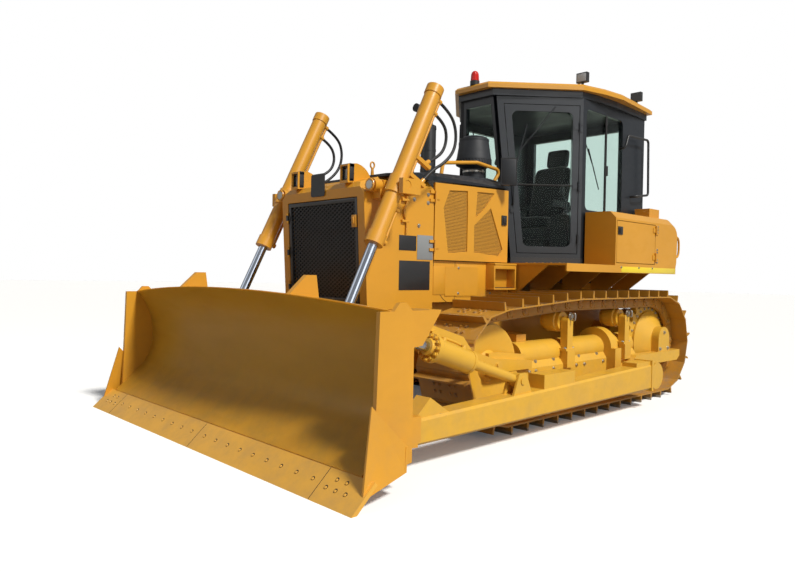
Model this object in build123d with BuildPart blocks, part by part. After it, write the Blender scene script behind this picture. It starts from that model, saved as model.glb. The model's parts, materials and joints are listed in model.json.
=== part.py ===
from build123d import *
import math
import os

# Frame: +Z up, the front toward -Y, the machine's left side toward +X.
# Origin: on the ground, midway along the machine's length.

os.makedirs("parts", exist_ok=True)

# Overall
OVERALL_LENGTH = 5140.0
FRONT_TIP = -OVERALL_LENGTH / 2
REAR_END = OVERALL_LENGTH / 2
SEAT_GAP = 0.3

# Track chain
TRACK_GAUGE = 1880.0
SHOE_WIDTH = 510.0
SHOE_PITCH = 203.2
SHOE_COUNT = 38
SHOE_PLATE = 12.0
GROUSER_HEIGHT = 63.0
GROUSER_ROOT = 26.0
GROUSER_TIP = 14.0
GROUSER_OFFSET = 34.0
LINK_SEAT = 50.0
LINK_RAIL = 50.0
LINK_THICKNESS = 32.0
LINK_SPREAD = 72.0
LINK_NOTCH = 20.0
BUSHING_RADIUS = 29.0
CHAIN_X = TRACK_GAUGE / 2
PIN_HEIGHT = GROUSER_HEIGHT + SHOE_PLATE + LINK_SEAT

# Sprocket
SPROCKET_TEETH = 25
SPROCKET_Y = 1984.0
SPROCKET_WIDTH = 60.0
SPROCKET_TIP = 16.0
SPROCKET_BORE = 250.0
PIN_CIRCLE = SHOE_PITCH / (2 * math.sin(2 * math.pi / SPROCKET_TEETH))
SPROCKET_Z = PIN_HEIGHT + PIN_CIRCLE

# Idler
IDLER_TREAD = 311.0
IDLER_FLANGE = 333.0
IDLER_WIDTH = 190.0
IDLER_WEB = 110.0
IDLER_AXLE = 42.0
IDLER_PIN_CIRCLE = math.hypot(IDLER_TREAD + SEAT_GAP + LINK_RAIL, SHOE_PITCH / 2)
IDLER_Z = PIN_HEIGHT + IDLER_PIN_CIRCLE

# Rollers
ROLLER_TREAD = 95.0
ROLLER_FLANGE = 112.0
ROLLER_FLANGE_WIDTH = 14.0
ROLLER_SHAFT = 34.0
ROLLER_FIRST = -190.0
ROLLER_STEP = 335.0
ROLLER_COUNT = 6
CARRIER_TREAD = 80.0
CARRIER_FLANGE = 93.0
CARRIER_SHAFT = 30.0
CARRIER_PLACES = (325.0, 1310.0)
RAIL_TOP = PIN_HEIGHT + LINK_RAIL
TOP_RUN_PIN = SPROCKET_Z + PIN_CIRCLE
ROLLER_Z = RAIL_TOP + SEAT_GAP + ROLLER_TREAD
CARRIER_SAG = 6.0
CARRIER_Z = TOP_RUN_PIN - LINK_RAIL - CARRIER_SAG - CARRIER_TREAD
RAIL_INNER = LINK_SPREAD - LINK_THICKNESS / 2
RAIL_OUTER = LINK_SPREAD + LINK_THICKNESS / 2

# Track frame
BEAM_INNER = 800.0
BEAM_OUTER = 1080.0
BEAM_FRONT = -290.0
BEAM_REAR = 1540.0
BEAM_BOTTOM = 398.0
BEAM_SHOULDER = 450.0
BEAM_TOP = 540.0
SPRING_RADIUS = 112.0
GUARD_PLATE = 14.0
GUARD_PLATE_LOW = 215.0
SIDE_BEAM_OUTER = 1165.0
SIDE_BEAM_TOP = 450.0
SIDE_BEAM_LOW = 345.0
SIDE_BEAM_FRONT = 1330.0
SIDE_BEAM_REAR = 2330.0
POST_WIDTH = 84.0
POST_INNER = 1036.0
POST_OUTER = 1104.0
FORK_COVER = 1112.0
SADDLE_FRONT = 985.0
SADDLE_WIDTH = 110.0
SADDLE_RADIUS = 182.0

# Push arm trunnion
TRUNNION_Y = 1265.0
TRUNNION_Z = 300.0
TRUNNION_X = 1350.0
BALL_RADIUS = 70.0
STUB_RADIUS = 44.0

# Hull
HULL_HALF = 420.0
HULL_WALL = 18.0
HULL_FRONT = -1260.0
HULL_REAR = 1500.0
HULL_BOTTOM = 430.0
HULL_TOP = 960.0
PIVOT_Y = 1250.0
PIVOT_Z = 500.0
PIVOT_RADIUS = 70.0
EQUALIZER_Y = -160.0
EQUALIZER_DEPTH = 130.0
EQUALIZER_HEIGHT = 95.0
EQUALIZER_PAD = 12.0

# Nose guard and hood
GUARD_HALF = 518.0
GUARD_WALL = 16.0
GUARD_REAR = -762.0
GUARD_FRONT_TOP = -1500.0
GUARD_FRONT_LOW = -1436.0
GUARD_LOW = 760.0
GUARD_TOP = 1852.0
GRILLE_HALF = 435.0
GRILLE_LOW = 960.0
GRILLE_HIGH = 1735.0
GRILLE_THICKNESS = 36.0
HOOD_REAR = 205.0
HOOD_LOW_FRONT = 1927.0
HOOD_LOW_REAR = 1955.0
HOOD_HALF = 528.0
DOOR_SHEET = 22.0
ENGINE_DOOR_LOW = 1300.0
ENGINE_DOOR_HIGH = 1915.0
ENGINE_DOOR_REAR = 195.0

# Cab, six sided in plan: a narrow front, the doors on the two slanting sides
CAB_FLOOR = 1360.0
CAB_HEAD = 2880.0
CAB_WALL = 50.0
CAB_FRONT_TOP = (221.0, 376.0)
CAB_FRONT_LOW = (330.0, 500.0)
CAB_PILLAR = (770.0, 1005.0)
CAB_REAR = (765.0, 2240.0)
ROOF_HIGH = CAB_HEAD + 120.0

# Rear boxes and fenders
FENDER_INNER = HULL_HALF + SEAT_GAP
FENDER_OUTER = 1110.0
FENDER_FRONT = 240.0
FENDER_REAR = 2310.0
FENDER_LOW = 1262.0
FENDER_HIGH = 1300.0
BOX_FRONT = 1045.0
BOX_SEAM = 1858.0
BOX_INNER = 790.0
BOX_WALL = 20.0

# Blade
BLADE_HALF = 1645.0
BLADE_PLATE = 22.0
BLADE_END_PLATE = 28.0
BLADE_END_TOP = 986.0
BLADE_CROWN = 80.0
BLADE_DEEPEST = -2095.0
BLADE_REAR = -2085.0
EDGE_TOP = (-2416.0, 142.0)
EDGE_KNEE = (-2160.0, 375.0)
EDGE_THICKNESS = 25.0
EDGE_HALF = 1368.0
TIP_HALF = 1722.0
BLADE_SPINE = -1990.0
EAR_THICKNESS = 20.0
EYE_WIDTH = 72.0
EAR_GAP = 6.0

# Push arms
ARM_INNER = 1270.0
ARM_OUTER = 1430.0
ARM_FRONT = -1900.0
ARM_REAR = TRUNNION_Y - 90
ARM_CHAMFER = 16.0
ARM_FRONT_LOW = 165.0
ARM_FRONT_HIGH = 322.0
ARM_REAR_LOW = 188.0
ARM_REAR_HIGH = 412.0
ARM_PIN = (ARM_FRONT + 42, 243.0)

# Lift cylinders
LIFT_X = 700.0
LIFT_PIVOT_Y = -1349.0
LIFT_PIVOT_Z = 1810.0
LIFT_PIN_Y = -1940.0
LIFT_PIN_Z = 617.0
BARREL_RADIUS = 62.0
BARREL_BORE = 50.0
ROD_RADIUS = 35.0
GLAND_REACH = 472.0
BARREL_BACK = 868.0
ROD_RUNNING = 0.05

# Doors and their hinges
DOOR_GAP = 6.0
HINGE_PIN = 5.0
HINGE_SLEEVE = 9.0
HINGE_STAND = 12.0
HINGE_LENGTH = 44.0
HINGE_LEAF = 55.0
HINGE_RUNNING = 0.05


def save(piece, name):
    """Label a finished piece and write its file."""
    piece.part.label = name
    export_step(piece.part, f"parts/{name}.step")


def prism_x(points, x0, x1, mode=Mode.ADD):
    """Extrude a side outline, given as (y, z) points, across the machine."""
    with BuildSketch(Plane.YZ.offset(x0)) as outline:
        with BuildLine():
            Polyline(*points, close=True)
        make_face()
    extrude(outline.sketch, amount=x1 - x0, dir=(1, 0, 0), mode=mode)


def prism_y(points, y0, y1, mode=Mode.ADD):
    """Extrude a front outline, given as (x, z) points, along the machine."""
    with BuildSketch(Plane.XZ.offset(-y0)) as outline:
        with BuildLine():
            Polyline(*points, close=True)
        make_face()
    extrude(outline.sketch, amount=y1 - y0, dir=(0, 1, 0), mode=mode)


def prism_z(points, z0, z1, mode=Mode.ADD):
    """Extrude a plan outline, given as (x, y) points, upward."""
    with BuildSketch(Plane.XY.offset(z0)) as outline:
        with BuildLine():
            Polyline(*points, close=True)
        make_face()
    extrude(outline.sketch, amount=z1 - z0, dir=(0, 0, 1), mode=mode)


def block(x0, x1, y0, y1, z0, z1, mode=Mode.ADD):
    """A plain box between two corners."""
    with Locations(((x0 + x1) / 2, (y0 + y1) / 2, (z0 + z1) / 2)):
        Box(x1 - x0, y1 - y0, z1 - z0, mode=mode)


def shaft(start, direction, radius, length, mode=Mode.ADD):
    """A round bar from a point along a direction."""
    with Locations(Plane(origin=start, z_dir=direction)):
        Cylinder(radius, length, align=(Align.CENTER, Align.CENTER, Align.MIN), mode=mode)


def mirrored(piece):
    """The same piece on the machine's other side."""
    with BuildPart() as twin:
        add(piece.part)
        mirror(about=Plane.YZ, mode=Mode.REPLACE)
    return twin


def both_sides(piece):
    """The piece and its twin on the other side, as one node."""
    with BuildPart() as pair:
        add(piece.part)
        mirror(about=Plane.YZ)
    return pair


def wheel(center, profile, mode=Mode.ADD):
    """Turn a profile of (x, radius) points about a cross axis through a point."""
    with BuildSketch(Plane(origin=center, x_dir=(1, 0, 0), z_dir=(0, -1, 0))) as outline:
        with BuildLine():
            Polyline(*profile, close=True)
        make_face()
    revolve(outline.sketch, axis=Axis(center, (1, 0, 0)), mode=mode)


def tube(points, bend, radius):
    """A round bar bent along a line of points."""
    with BuildLine() as path:
        FilletPolyline(*points, radius=bend)
    with BuildSketch(Plane(origin=path.line @ 0, z_dir=path.line % 0)) as section:
        Circle(radius)
    sweep(section.sketch, path=path.line)


def knuckle(plane, out, low, high, reach, stand=HINGE_STAND):
    """A hinge sleeve with a leaf on the face that stands off from the pin by a distance."""
    leaf = stand - HINGE_STAND / 2
    with BuildSketch(plane.offset(low)) as outline:
        Circle(HINGE_SLEEVE)
        with Locations((reach / 2, -out * (stand - leaf / 2))):
            Rectangle(abs(reach), leaf)
    extrude(outline.sketch, amount=high - low, dir=plane.z_dir)


def door_side(plane, out, places, reach=HINGE_LEAF, stand=HINGE_STAND):
    """The door's sleeves, bored to run on their pins."""
    for place in places:
        knuckle(plane, out, place, place + HINGE_LENGTH, reach, stand)
        with BuildSketch(plane.offset(place)) as bore:
            Circle(HINGE_PIN + HINGE_RUNNING)
        extrude(bore.sketch, amount=HINGE_LENGTH, dir=plane.z_dir, mode=Mode.SUBTRACT)


def frame_side(plane, out, places, reach=HINGE_LEAF, stand=HINGE_STAND):
    """The frame's knuckles above and below each sleeve, with the pin between them."""
    for place in places:
        knuckle(plane, out, place - SEAT_GAP - HINGE_LENGTH / 2, place - SEAT_GAP, -reach, stand)
        top = place + HINGE_LENGTH + SEAT_GAP
        knuckle(plane, out, top, top + HINGE_LENGTH / 2, -reach, stand)
        with BuildSketch(plane.offset(place - SEAT_GAP - 1)) as pin:
            Circle(HINGE_PIN)
        extrude(pin.sketch, amount=HINGE_LENGTH + 2 * SEAT_GAP + 2, dir=plane.z_dir)


# The chain's pins run over the sprocket, forward across the carrier rollers, round the
# idler and back along the ground. The idler stands where the chain just closes.
def chain_route(idler_y):
    """Lengths of the pin line's legs and a function from length to (y, z)."""
    lead_y = CARRIER_PLACES[0]
    reach = math.hypot(lead_y - idler_y, TOP_RUN_PIN - IDLER_Z)
    lean = math.atan2(TOP_RUN_PIN - IDLER_Z, lead_y - idler_y)
    leave = lean + math.acos(IDLER_PIN_CIRCLE / reach)
    quarter = PIN_CIRCLE * math.pi / 2
    top_run = SPROCKET_Y - lead_y
    slope = math.sqrt(reach ** 2 - IDLER_PIN_CIRCLE ** 2)
    wrap = IDLER_PIN_CIRCLE * (1.5 * math.pi - leave)
    ground_run = SPROCKET_Y - idler_y
    legs = (quarter, top_run, slope, wrap, ground_run, quarter)

    def place(length):
        left = length % sum(legs)
        if left < quarter:
            turn = left / PIN_CIRCLE
            return SPROCKET_Y + PIN_CIRCLE * math.cos(turn), SPROCKET_Z + PIN_CIRCLE * math.sin(turn)
        left -= quarter
        if left < top_run:
            return SPROCKET_Y - left, TOP_RUN_PIN
        left -= top_run
        end_y = idler_y + IDLER_PIN_CIRCLE * math.cos(leave)
        end_z = IDLER_Z + IDLER_PIN_CIRCLE * math.sin(leave)
        if left < slope:
            share = left / slope
            return lead_y + (end_y - lead_y) * share, TOP_RUN_PIN + (end_z - TOP_RUN_PIN) * share
        left -= slope
        if left < wrap:
            turn = leave + left / IDLER_PIN_CIRCLE
            return idler_y + IDLER_PIN_CIRCLE * math.cos(turn), IDLER_Z + IDLER_PIN_CIRCLE * math.sin(turn)
        left -= wrap
        if left < ground_run:
            return idler_y + left, PIN_HEIGHT
        left -= ground_run
        turn = left / PIN_CIRCLE
        return SPROCKET_Y + PIN_CIRCLE * math.sin(turn), SPROCKET_Z - PIN_CIRCLE * math.cos(turn)

    return sum(legs), place


def chain_walk(idler_y):
    """Step the pins one pitch at a time; return them and what is left over."""
    total, place = chain_route(idler_y)
    pins = [place(0)]
    travelled = 0.0
    for _ in range(SHOE_COUNT):
        low, high = travelled + 0.8 * SHOE_PITCH, travelled + 1.4 * SHOE_PITCH
        for _ in range(40):
            middle = (low + high) / 2
            if math.dist(place(middle), pins[-1]) < SHOE_PITCH:
                low = middle
            else:
                high = middle
        travelled = low
        pins.append(place(travelled))
    return pins[:-1], travelled - total


def take_up():
    """Slide the idler until the last pin meets the first."""
    near, far = SPROCKET_Y - 0.7 * SHOE_PITCH * SHOE_COUNT / 2, SPROCKET_Y - 0.3 * SHOE_PITCH * SHOE_COUNT / 2
    for _ in range(50):
        middle = (near + far) / 2
        if chain_walk(middle)[1] > 0:
            far = middle
        else:
            near = middle
    return (near + far) / 2


IDLER_Y = take_up()
PINS = chain_walk(IDLER_Y)[0]


def link_frames():
    """Each link's first pin, its unit vector along and its unit vector outward."""
    frames = []
    for start, end in zip(PINS, PINS[1:] + PINS[:1]):
        along = ((end[0] - start[0]) / SHOE_PITCH, (end[1] - start[1]) / SHOE_PITCH)
        outward = (along[1], -along[0])
        frames.append((start, along, outward))
    return frames


def at_link(frame, along, out):
    """A point given by its distance along a link and outward from the pin line."""
    (y, z), u, n = frame
    return y + u[0] * along + n[0] * out, z + u[1] * along + n[1] * out


def chain_corners(out):
    """The pin line moved outward, with its corners mitred."""
    frames = link_frames()
    corners = []
    for before, after in zip(frames[-1:] + frames[:-1], frames):
        n0, n1 = before[2], after[2]
        bisector = (n0[0] + n1[0], n0[1] + n1[1])
        scale = 2 * out / (bisector[0] ** 2 + bisector[1] ** 2)
        corners.append((after[0][0] + bisector[0] * scale, after[0][1] + bisector[1] * scale))
    return corners


def shoe_outline():
    """The outside of all shoes, one grouser to each."""
    seat = LINK_SEAT + SHOE_PLATE
    corners = chain_corners(seat)
    points = []
    for corner, frame in zip(corners, link_frames()):
        rise = (GROUSER_ROOT - GROUSER_TIP) / 2
        points.append(corner)
        points.append(at_link(frame, GROUSER_OFFSET, seat))
        points.append(at_link(frame, GROUSER_OFFSET + rise, seat + GROUSER_HEIGHT))
        points.append(at_link(frame, GROUSER_OFFSET + GROUSER_ROOT - rise, seat + GROUSER_HEIGHT))
        points.append(at_link(frame, GROUSER_OFFSET + GROUSER_ROOT, seat))
    return points


def rail_outline():
    """The running side of the link rails, eased at every joint."""
    points = []
    for frame in link_frames():
        points.append(at_link(frame, LINK_NOTCH, -LINK_RAIL))
        points.append(at_link(frame, SHOE_PITCH - LINK_NOTCH, -LINK_RAIL))
    return points


# Tracks
with BuildPart() as left_track:
    prism_x(shoe_outline(), CHAIN_X - SHOE_WIDTH / 2, CHAIN_X + SHOE_WIDTH / 2)
    prism_x(chain_corners(LINK_SEAT), CHAIN_X - SHOE_WIDTH / 2, CHAIN_X + SHOE_WIDTH / 2, Mode.SUBTRACT)
    for side in (-1, 1):
        rail_x = CHAIN_X + side * LINK_SPREAD
        with BuildSketch(Plane.YZ.offset(rail_x - LINK_THICKNESS / 2)) as rail:
            with BuildLine():
                Polyline(*chain_corners(LINK_SEAT + SHOE_PLATE / 2), close=True)
            make_face()
            with BuildLine():
                Polyline(*rail_outline(), close=True)
            make_face(mode=Mode.SUBTRACT)
        extrude(rail.sketch, amount=LINK_THICKNESS, dir=(1, 0, 0))
    with BuildSketch(Plane.YZ.offset(CHAIN_X - LINK_SPREAD)) as bushings:
        with Locations(*PINS):
            RegularPolygon(BUSHING_RADIUS, 6)
    extrude(bushings.sketch, amount=2 * LINK_SPREAD, dir=(1, 0, 0))
save(left_track, "left_track")
save(mirrored(left_track), "right_track")

# Sprockets: the chain's bushings sit in every second space
with BuildPart() as sprocket:
    with BuildSketch(Plane.YZ.offset(CHAIN_X - SPROCKET_WIDTH / 2)) as tooth_ring:
        with Locations((SPROCKET_Y, SPROCKET_Z)):
            Circle(PIN_CIRCLE + SPROCKET_TIP)
            Circle(SPROCKET_BORE, mode=Mode.SUBTRACT)
            with PolarLocations(PIN_CIRCLE, SPROCKET_TEETH):
                Circle(BUSHING_RADIUS + 2, mode=Mode.SUBTRACT)
    extrude(amount=SPROCKET_WIDTH, dir=(1, 0, 0))
save(both_sides(sprocket), "sprockets")

# Final drives: gear case inboard of the sprocket, cone and bearing cap outboard
CASE_RADIUS = 330.0
CASE_INNER = 660.0
CONE_OUTER = 1078.0
CAP_HALF = 118.0
CAP_ARCH = SPROCKET_Z + 44
with BuildPart() as final_drive:
    wheel(
        (CHAIN_X, SPROCKET_Y, SPROCKET_Z),
        (
            (CASE_INNER - CHAIN_X, 0),
            (CASE_INNER - CHAIN_X, 220),
            (CASE_INNER - CHAIN_X + 60, CASE_RADIUS),
            (-SPROCKET_WIDTH / 2 - 4, CASE_RADIUS),
            (-SPROCKET_WIDTH / 2 - 4, SPROCKET_BORE - SEAT_GAP),
            (SPROCKET_WIDTH / 2 + 4, SPROCKET_BORE - SEAT_GAP),
            (SPROCKET_WIDTH / 2 + 4, 312),
            (SPROCKET_WIDTH / 2 + 20, 312),
            (CONE_OUTER - CHAIN_X, 150),
            (CONE_OUTER - CHAIN_X, 0),
        ),
    )
    with BuildSketch(Plane.YZ.offset(CONE_OUTER)) as cap:
        with Locations((SPROCKET_Y, CAP_ARCH)):
            Circle(CAP_HALF)
        with Locations((SPROCKET_Y, (CAP_ARCH + SIDE_BEAM_TOP + SEAT_GAP) / 2)):
            Rectangle(2 * CAP_HALF, CAP_ARCH - SIDE_BEAM_TOP - SEAT_GAP)
        with Locations((SPROCKET_Y, SIDE_BEAM_TOP + SEAT_GAP - CAP_HALF / 2)):
            Rectangle(3 * CAP_HALF, CAP_HALF, mode=Mode.SUBTRACT)
    extrude(cap.sketch, amount=SIDE_BEAM_OUTER - 10 - CONE_OUTER, dir=(1, 0, 0))
save(both_sides(final_drive), "final_drives")

# Idlers
with BuildPart() as idler:
    half = IDLER_WIDTH / 2
    web = IDLER_WEB / 2
    wheel(
        (CHAIN_X, IDLER_Y, IDLER_Z),
        (
            (-half - 45, 0),
            (-half - 45, IDLER_AXLE),
            (-half - 8, IDLER_AXLE),
            (-half - 8, 95),
            (-web, 120),
            (-web, 255),
            (-half, 280),
            (-half, IDLER_TREAD),
            (-RAIL_INNER + 4, IDLER_TREAD),
            (-RAIL_INNER + 8, IDLER_FLANGE),
            (RAIL_INNER - 8, IDLER_FLANGE),
            (RAIL_INNER - 4, IDLER_TREAD),
            (half, IDLER_TREAD),
            (half, 290),
            (half - 26, 120),
            (half + 8, 95),
            (half + 8, IDLER_AXLE),
            (half + 45, IDLER_AXLE),
            (half + 45, 0),
        ),
    )
save(both_sides(idler), "idlers")

# Track rollers under the beam, carrier rollers on their posts
with BuildPart() as rollers:
    flange = RAIL_OUTER + 5
    shaft_end = (BEAM_OUTER - BEAM_INNER) / 2 - GUARD_PLATE - SEAT_GAP
    for index in range(ROLLER_COUNT):
        wheel(
            (CHAIN_X, ROLLER_FIRST + index * ROLLER_STEP, ROLLER_Z),
            (
                (-shaft_end, 0),
                (-shaft_end, ROLLER_SHAFT),
                (-flange - ROLLER_FLANGE_WIDTH, ROLLER_SHAFT),
                (-flange - ROLLER_FLANGE_WIDTH, ROLLER_FLANGE),
                (-flange, ROLLER_FLANGE),
                (-flange + 3, ROLLER_TREAD),
                (-RAIL_INNER + 6, ROLLER_TREAD),
                (-RAIL_INNER + 20, ROLLER_TREAD - 18),
                (RAIL_INNER - 20, ROLLER_TREAD - 18),
                (RAIL_INNER - 6, ROLLER_TREAD),
                (flange - 3, ROLLER_TREAD),
                (flange, ROLLER_FLANGE),
                (flange + ROLLER_FLANGE_WIDTH, ROLLER_FLANGE),
                (flange + ROLLER_FLANGE_WIDTH, ROLLER_SHAFT),
                (shaft_end, ROLLER_SHAFT),
                (shaft_end, 0),
            ),
        )
    for carrier_y in CARRIER_PLACES:
        wheel(
            (CHAIN_X, carrier_y, CARRIER_Z),
            (
                (-RAIL_OUTER, 0),
                (-RAIL_OUTER, CARRIER_TREAD),
                (-RAIL_INNER, CARRIER_TREAD),
                (-RAIL_INNER + 6, CARRIER_FLANGE),
                (RAIL_INNER - 6, CARRIER_FLANGE),
                (RAIL_INNER, CARRIER_TREAD),
                (RAIL_OUTER, CARRIER_TREAD),
                (RAIL_OUTER, CARRIER_SHAFT),
                (POST_INNER - SEAT_GAP - CHAIN_X, CARRIER_SHAFT),
                (POST_INNER - SEAT_GAP - CHAIN_X, 0),
            ),
        )
save(both_sides(rollers), "rollers")

# Track frames: a beam over the rollers, the recoil spring's housing on it, guards below,
# an outboard beam under the bearing cap, two posts and the trunnion ball
with BuildPart() as track_frame:
    with BuildSketch(Plane.XZ.offset(-BEAM_FRONT)) as section:
        with BuildLine():
            Polyline(
                (BEAM_INNER, BEAM_BOTTOM),
                (BEAM_OUTER, BEAM_BOTTOM),
                (BEAM_OUTER, BEAM_SHOULDER),
                (BEAM_OUTER - 60, BEAM_TOP),
                (BEAM_INNER + 60, BEAM_TOP),
                (BEAM_INNER, BEAM_SHOULDER),
                close=True,
            )
        make_face()
        with Locations(((BEAM_INNER + BEAM_OUTER) / 2, BEAM_TOP)):
            Circle(SPRING_RADIUS)
    extrude(section.sketch, amount=BEAM_REAR - BEAM_FRONT, dir=(0, 1, 0))
    for inner in (BEAM_INNER, BEAM_OUTER - GUARD_PLATE):
        prism_x(
            (
                (BEAM_FRONT - 90, BEAM_BOTTOM),
                (BEAM_FRONT - 20, GUARD_PLATE_LOW),
                (BEAM_REAR + 60, GUARD_PLATE_LOW),
                (BEAM_REAR + 130, BEAM_BOTTOM - 60),
                (BEAM_REAR, BEAM_BOTTOM + 1),
                (BEAM_FRONT, BEAM_BOTTOM + 1),
            ),
            inner,
            inner + GUARD_PLATE,
        )
    fork_inner = IDLER_WIDTH / 2 + 12
    for side in (-1, 1):
        x_near = CHAIN_X + side * fork_inner
        x_far = CHAIN_X + side * (fork_inner + 32)
        with BuildSketch(Plane.YZ.offset(min(x_near, x_far))) as fork:
            with BuildLine():
                Polyline(
                    (IDLER_Y - 75, IDLER_Z - 55),
                    (IDLER_Y - 30, IDLER_Z - 75),
                    (BEAM_FRONT + 10, BEAM_BOTTOM + 10),
                    (BEAM_FRONT + 10, BEAM_TOP + 30),
                    (IDLER_Y + 60, IDLER_Z + 105),
                    (IDLER_Y - 75, IDLER_Z + 105),
                    close=True,
                )
            make_face()
            with Locations((IDLER_Y, IDLER_Z)):
                Circle(IDLER_AXLE + SEAT_GAP, mode=Mode.SUBTRACT)
        extrude(fork.sketch, amount=32, dir=(1, 0, 0))
    prism_x(
        (
            (IDLER_Y - 60, IDLER_Z - 40),
            (BEAM_FRONT + 60, BEAM_BOTTOM + 60),
            (BEAM_FRONT + 60, BEAM_TOP - 20),
            (IDLER_Y - 60, IDLER_Z + 70),
        ),
        CHAIN_X + fork_inner + 31,
        FORK_COVER,
    )
    shaft((CHAIN_X + fork_inner + 30, IDLER_Y, IDLER_Z), (1, 0, 0), IDLER_AXLE + SEAT_GAP, 16, Mode.SUBTRACT)
    with BuildSketch(Plane.XZ.offset(-SADDLE_FRONT)) as saddle:
        with Locations(((BEAM_INNER + BEAM_OUTER) / 2, BEAM_TOP)):
            Circle(SADDLE_RADIUS)
        with Locations(((BEAM_OUTER + SIDE_BEAM_OUTER - 4) / 2, (SIDE_BEAM_LOW + BEAM_TOP) / 2)):
            Rectangle(SIDE_BEAM_OUTER - BEAM_OUTER + 4, BEAM_TOP - SIDE_BEAM_LOW)
        with Locations(((BEAM_INNER + BEAM_OUTER) / 2 - SADDLE_RADIUS, BEAM_BOTTOM - 60)):
            Rectangle(2 * SADDLE_RADIUS, 2 * SADDLE_RADIUS - 60, align=(Align.MIN, Align.MAX), mode=Mode.SUBTRACT)
    extrude(saddle.sketch, amount=SADDLE_WIDTH, dir=(0, 1, 0))
    prism_x(
        (
            (SIDE_BEAM_FRONT, SIDE_BEAM_LOW),
            (SIDE_BEAM_REAR - 60, SIDE_BEAM_LOW),
            (SIDE_BEAM_REAR, SIDE_BEAM_LOW + 40),
            (SIDE_BEAM_REAR, SIDE_BEAM_TOP),
            (SIDE_BEAM_FRONT + 60, SIDE_BEAM_TOP),
            (SIDE_BEAM_FRONT, SIDE_BEAM_TOP - 50),
        ),
        BEAM_OUTER - 2,
        SIDE_BEAM_OUTER,
    )
    for carrier_y in CARRIER_PLACES:
        block(POST_INNER, POST_OUTER, carrier_y - POST_WIDTH / 2, carrier_y + POST_WIDTH / 2,
              BEAM_SHOULDER - 10, CARRIER_Z)
        shaft((POST_INNER, carrier_y, CARRIER_Z), (1, 0, 0), POST_WIDTH / 2, POST_OUTER - POST_INNER)
        block(POST_INNER - 8, POST_OUTER + 8, carrier_y - POST_WIDTH / 2 - 30,
              carrier_y + POST_WIDTH / 2 + 30, BEAM_SHOULDER + 110, BEAM_SHOULDER + 132)
        block(POST_INNER - 14, POST_OUTER + 14, carrier_y - POST_WIDTH / 2 - 16,
              carrier_y + POST_WIDTH / 2 + 16, BEAM_SHOULDER - 30, BEAM_SHOULDER + 110)
    shaft((BEAM_OUTER - 2, TRUNNION_Y, TRUNNION_Z), (1, 0, 0), STUB_RADIUS + 30, 60)
    shaft((BEAM_OUTER - 2, TRUNNION_Y, TRUNNION_Z), (1, 0, 0), STUB_RADIUS, TRUNNION_X - BEAM_OUTER)
    with Locations((TRUNNION_X, TRUNNION_Y, TRUNNION_Z)):
        Sphere(BALL_RADIUS)
save(both_sides(track_frame), "track_frames")

# Hull: side walls, belly, cross tubes and the pivot shaft's ends
with BuildPart() as main_frame:
    prism_x(
        (
            (HULL_FRONT, HULL_BOTTOM + 150),
            (HULL_FRONT + 160, HULL_BOTTOM),
            (HULL_REAR, HULL_BOTTOM),
            (HULL_REAR, HULL_TOP),
            (HULL_FRONT, HULL_TOP),
        ),
        -HULL_HALF,
        HULL_HALF,
    )
    prism_x(
        (
            (HULL_FRONT + HULL_WALL, HULL_BOTTOM + 160),
            (HULL_FRONT + 170, HULL_BOTTOM + HULL_WALL),
            (HULL_REAR - HULL_WALL, HULL_BOTTOM + HULL_WALL),
            (HULL_REAR - HULL_WALL, HULL_TOP + 1),
            (HULL_FRONT + HULL_WALL, HULL_TOP + 1),
        ),
        -HULL_HALF + HULL_WALL,
        HULL_HALF - HULL_WALL,
        Mode.SUBTRACT,
    )
    block(-HULL_HALF - 1, HULL_HALF + 1, EQUALIZER_Y - EQUALIZER_DEPTH / 2 - 40,
          EQUALIZER_Y + EQUALIZER_DEPTH / 2 + 40, BEAM_TOP + SPRING_RADIUS - 60,
          BEAM_TOP + SPRING_RADIUS + EQUALIZER_HEIGHT + 60, Mode.SUBTRACT)
    for x_start, direction in ((HULL_HALF - HULL_WALL / 2, 1), (-HULL_HALF + HULL_WALL / 2, -1)):
        shaft((x_start, PIVOT_Y, PIVOT_Z), (direction, 0, 0), PIVOT_RADIUS,
              BEAM_INNER - SEAT_GAP - HULL_HALF + HULL_WALL / 2)
save(main_frame, "main_frame")

# Equalizer bar across the hull, resting on both track frames
with BuildPart() as equalizer_bar:
    bar_low = BEAM_TOP + SPRING_RADIUS + SEAT_GAP
    bar_half = (BEAM_INNER + BEAM_OUTER) / 2 + EQUALIZER_PAD
    prism_y(
        (
            (-bar_half, bar_low),
            (bar_half, bar_low),
            (bar_half, bar_low + EQUALIZER_HEIGHT * 0.6),
            (250, bar_low + EQUALIZER_HEIGHT),
            (-250, bar_low + EQUALIZER_HEIGHT),
            (-bar_half, bar_low + EQUALIZER_HEIGHT * 0.6),
        ),
        EQUALIZER_Y - EQUALIZER_DEPTH / 2,
        EQUALIZER_Y + EQUALIZER_DEPTH / 2,
    )
save(equalizer_bar, "equalizer_bar")

# Rear case: transmission and steering housing with the axle tubes
REAR_CASE_END = 2330.0
REAR_CASE_TOP = 1120.0
AXLE_TUBE = 190.0
with BuildPart() as rear_case:
    prism_x(
        (
            (HULL_REAR, HULL_BOTTOM + 20),
            (REAR_CASE_END - 90, HULL_BOTTOM + 20),
            (REAR_CASE_END, HULL_BOTTOM + 120),
            (REAR_CASE_END, REAR_CASE_TOP - 160),
            (REAR_CASE_END - 120, REAR_CASE_TOP),
            (HULL_REAR, REAR_CASE_TOP),
        ),
        -HULL_HALF,
        HULL_HALF,
    )
    for x_start, direction in ((HULL_HALF - 1, 1), (-HULL_HALF + 1, -1)):
        shaft((x_start, SPROCKET_Y, SPROCKET_Z), (direction, 0, 0), AXLE_TUBE, CASE_INNER - HULL_HALF + 1)
save(rear_case, "rear_case")

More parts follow.
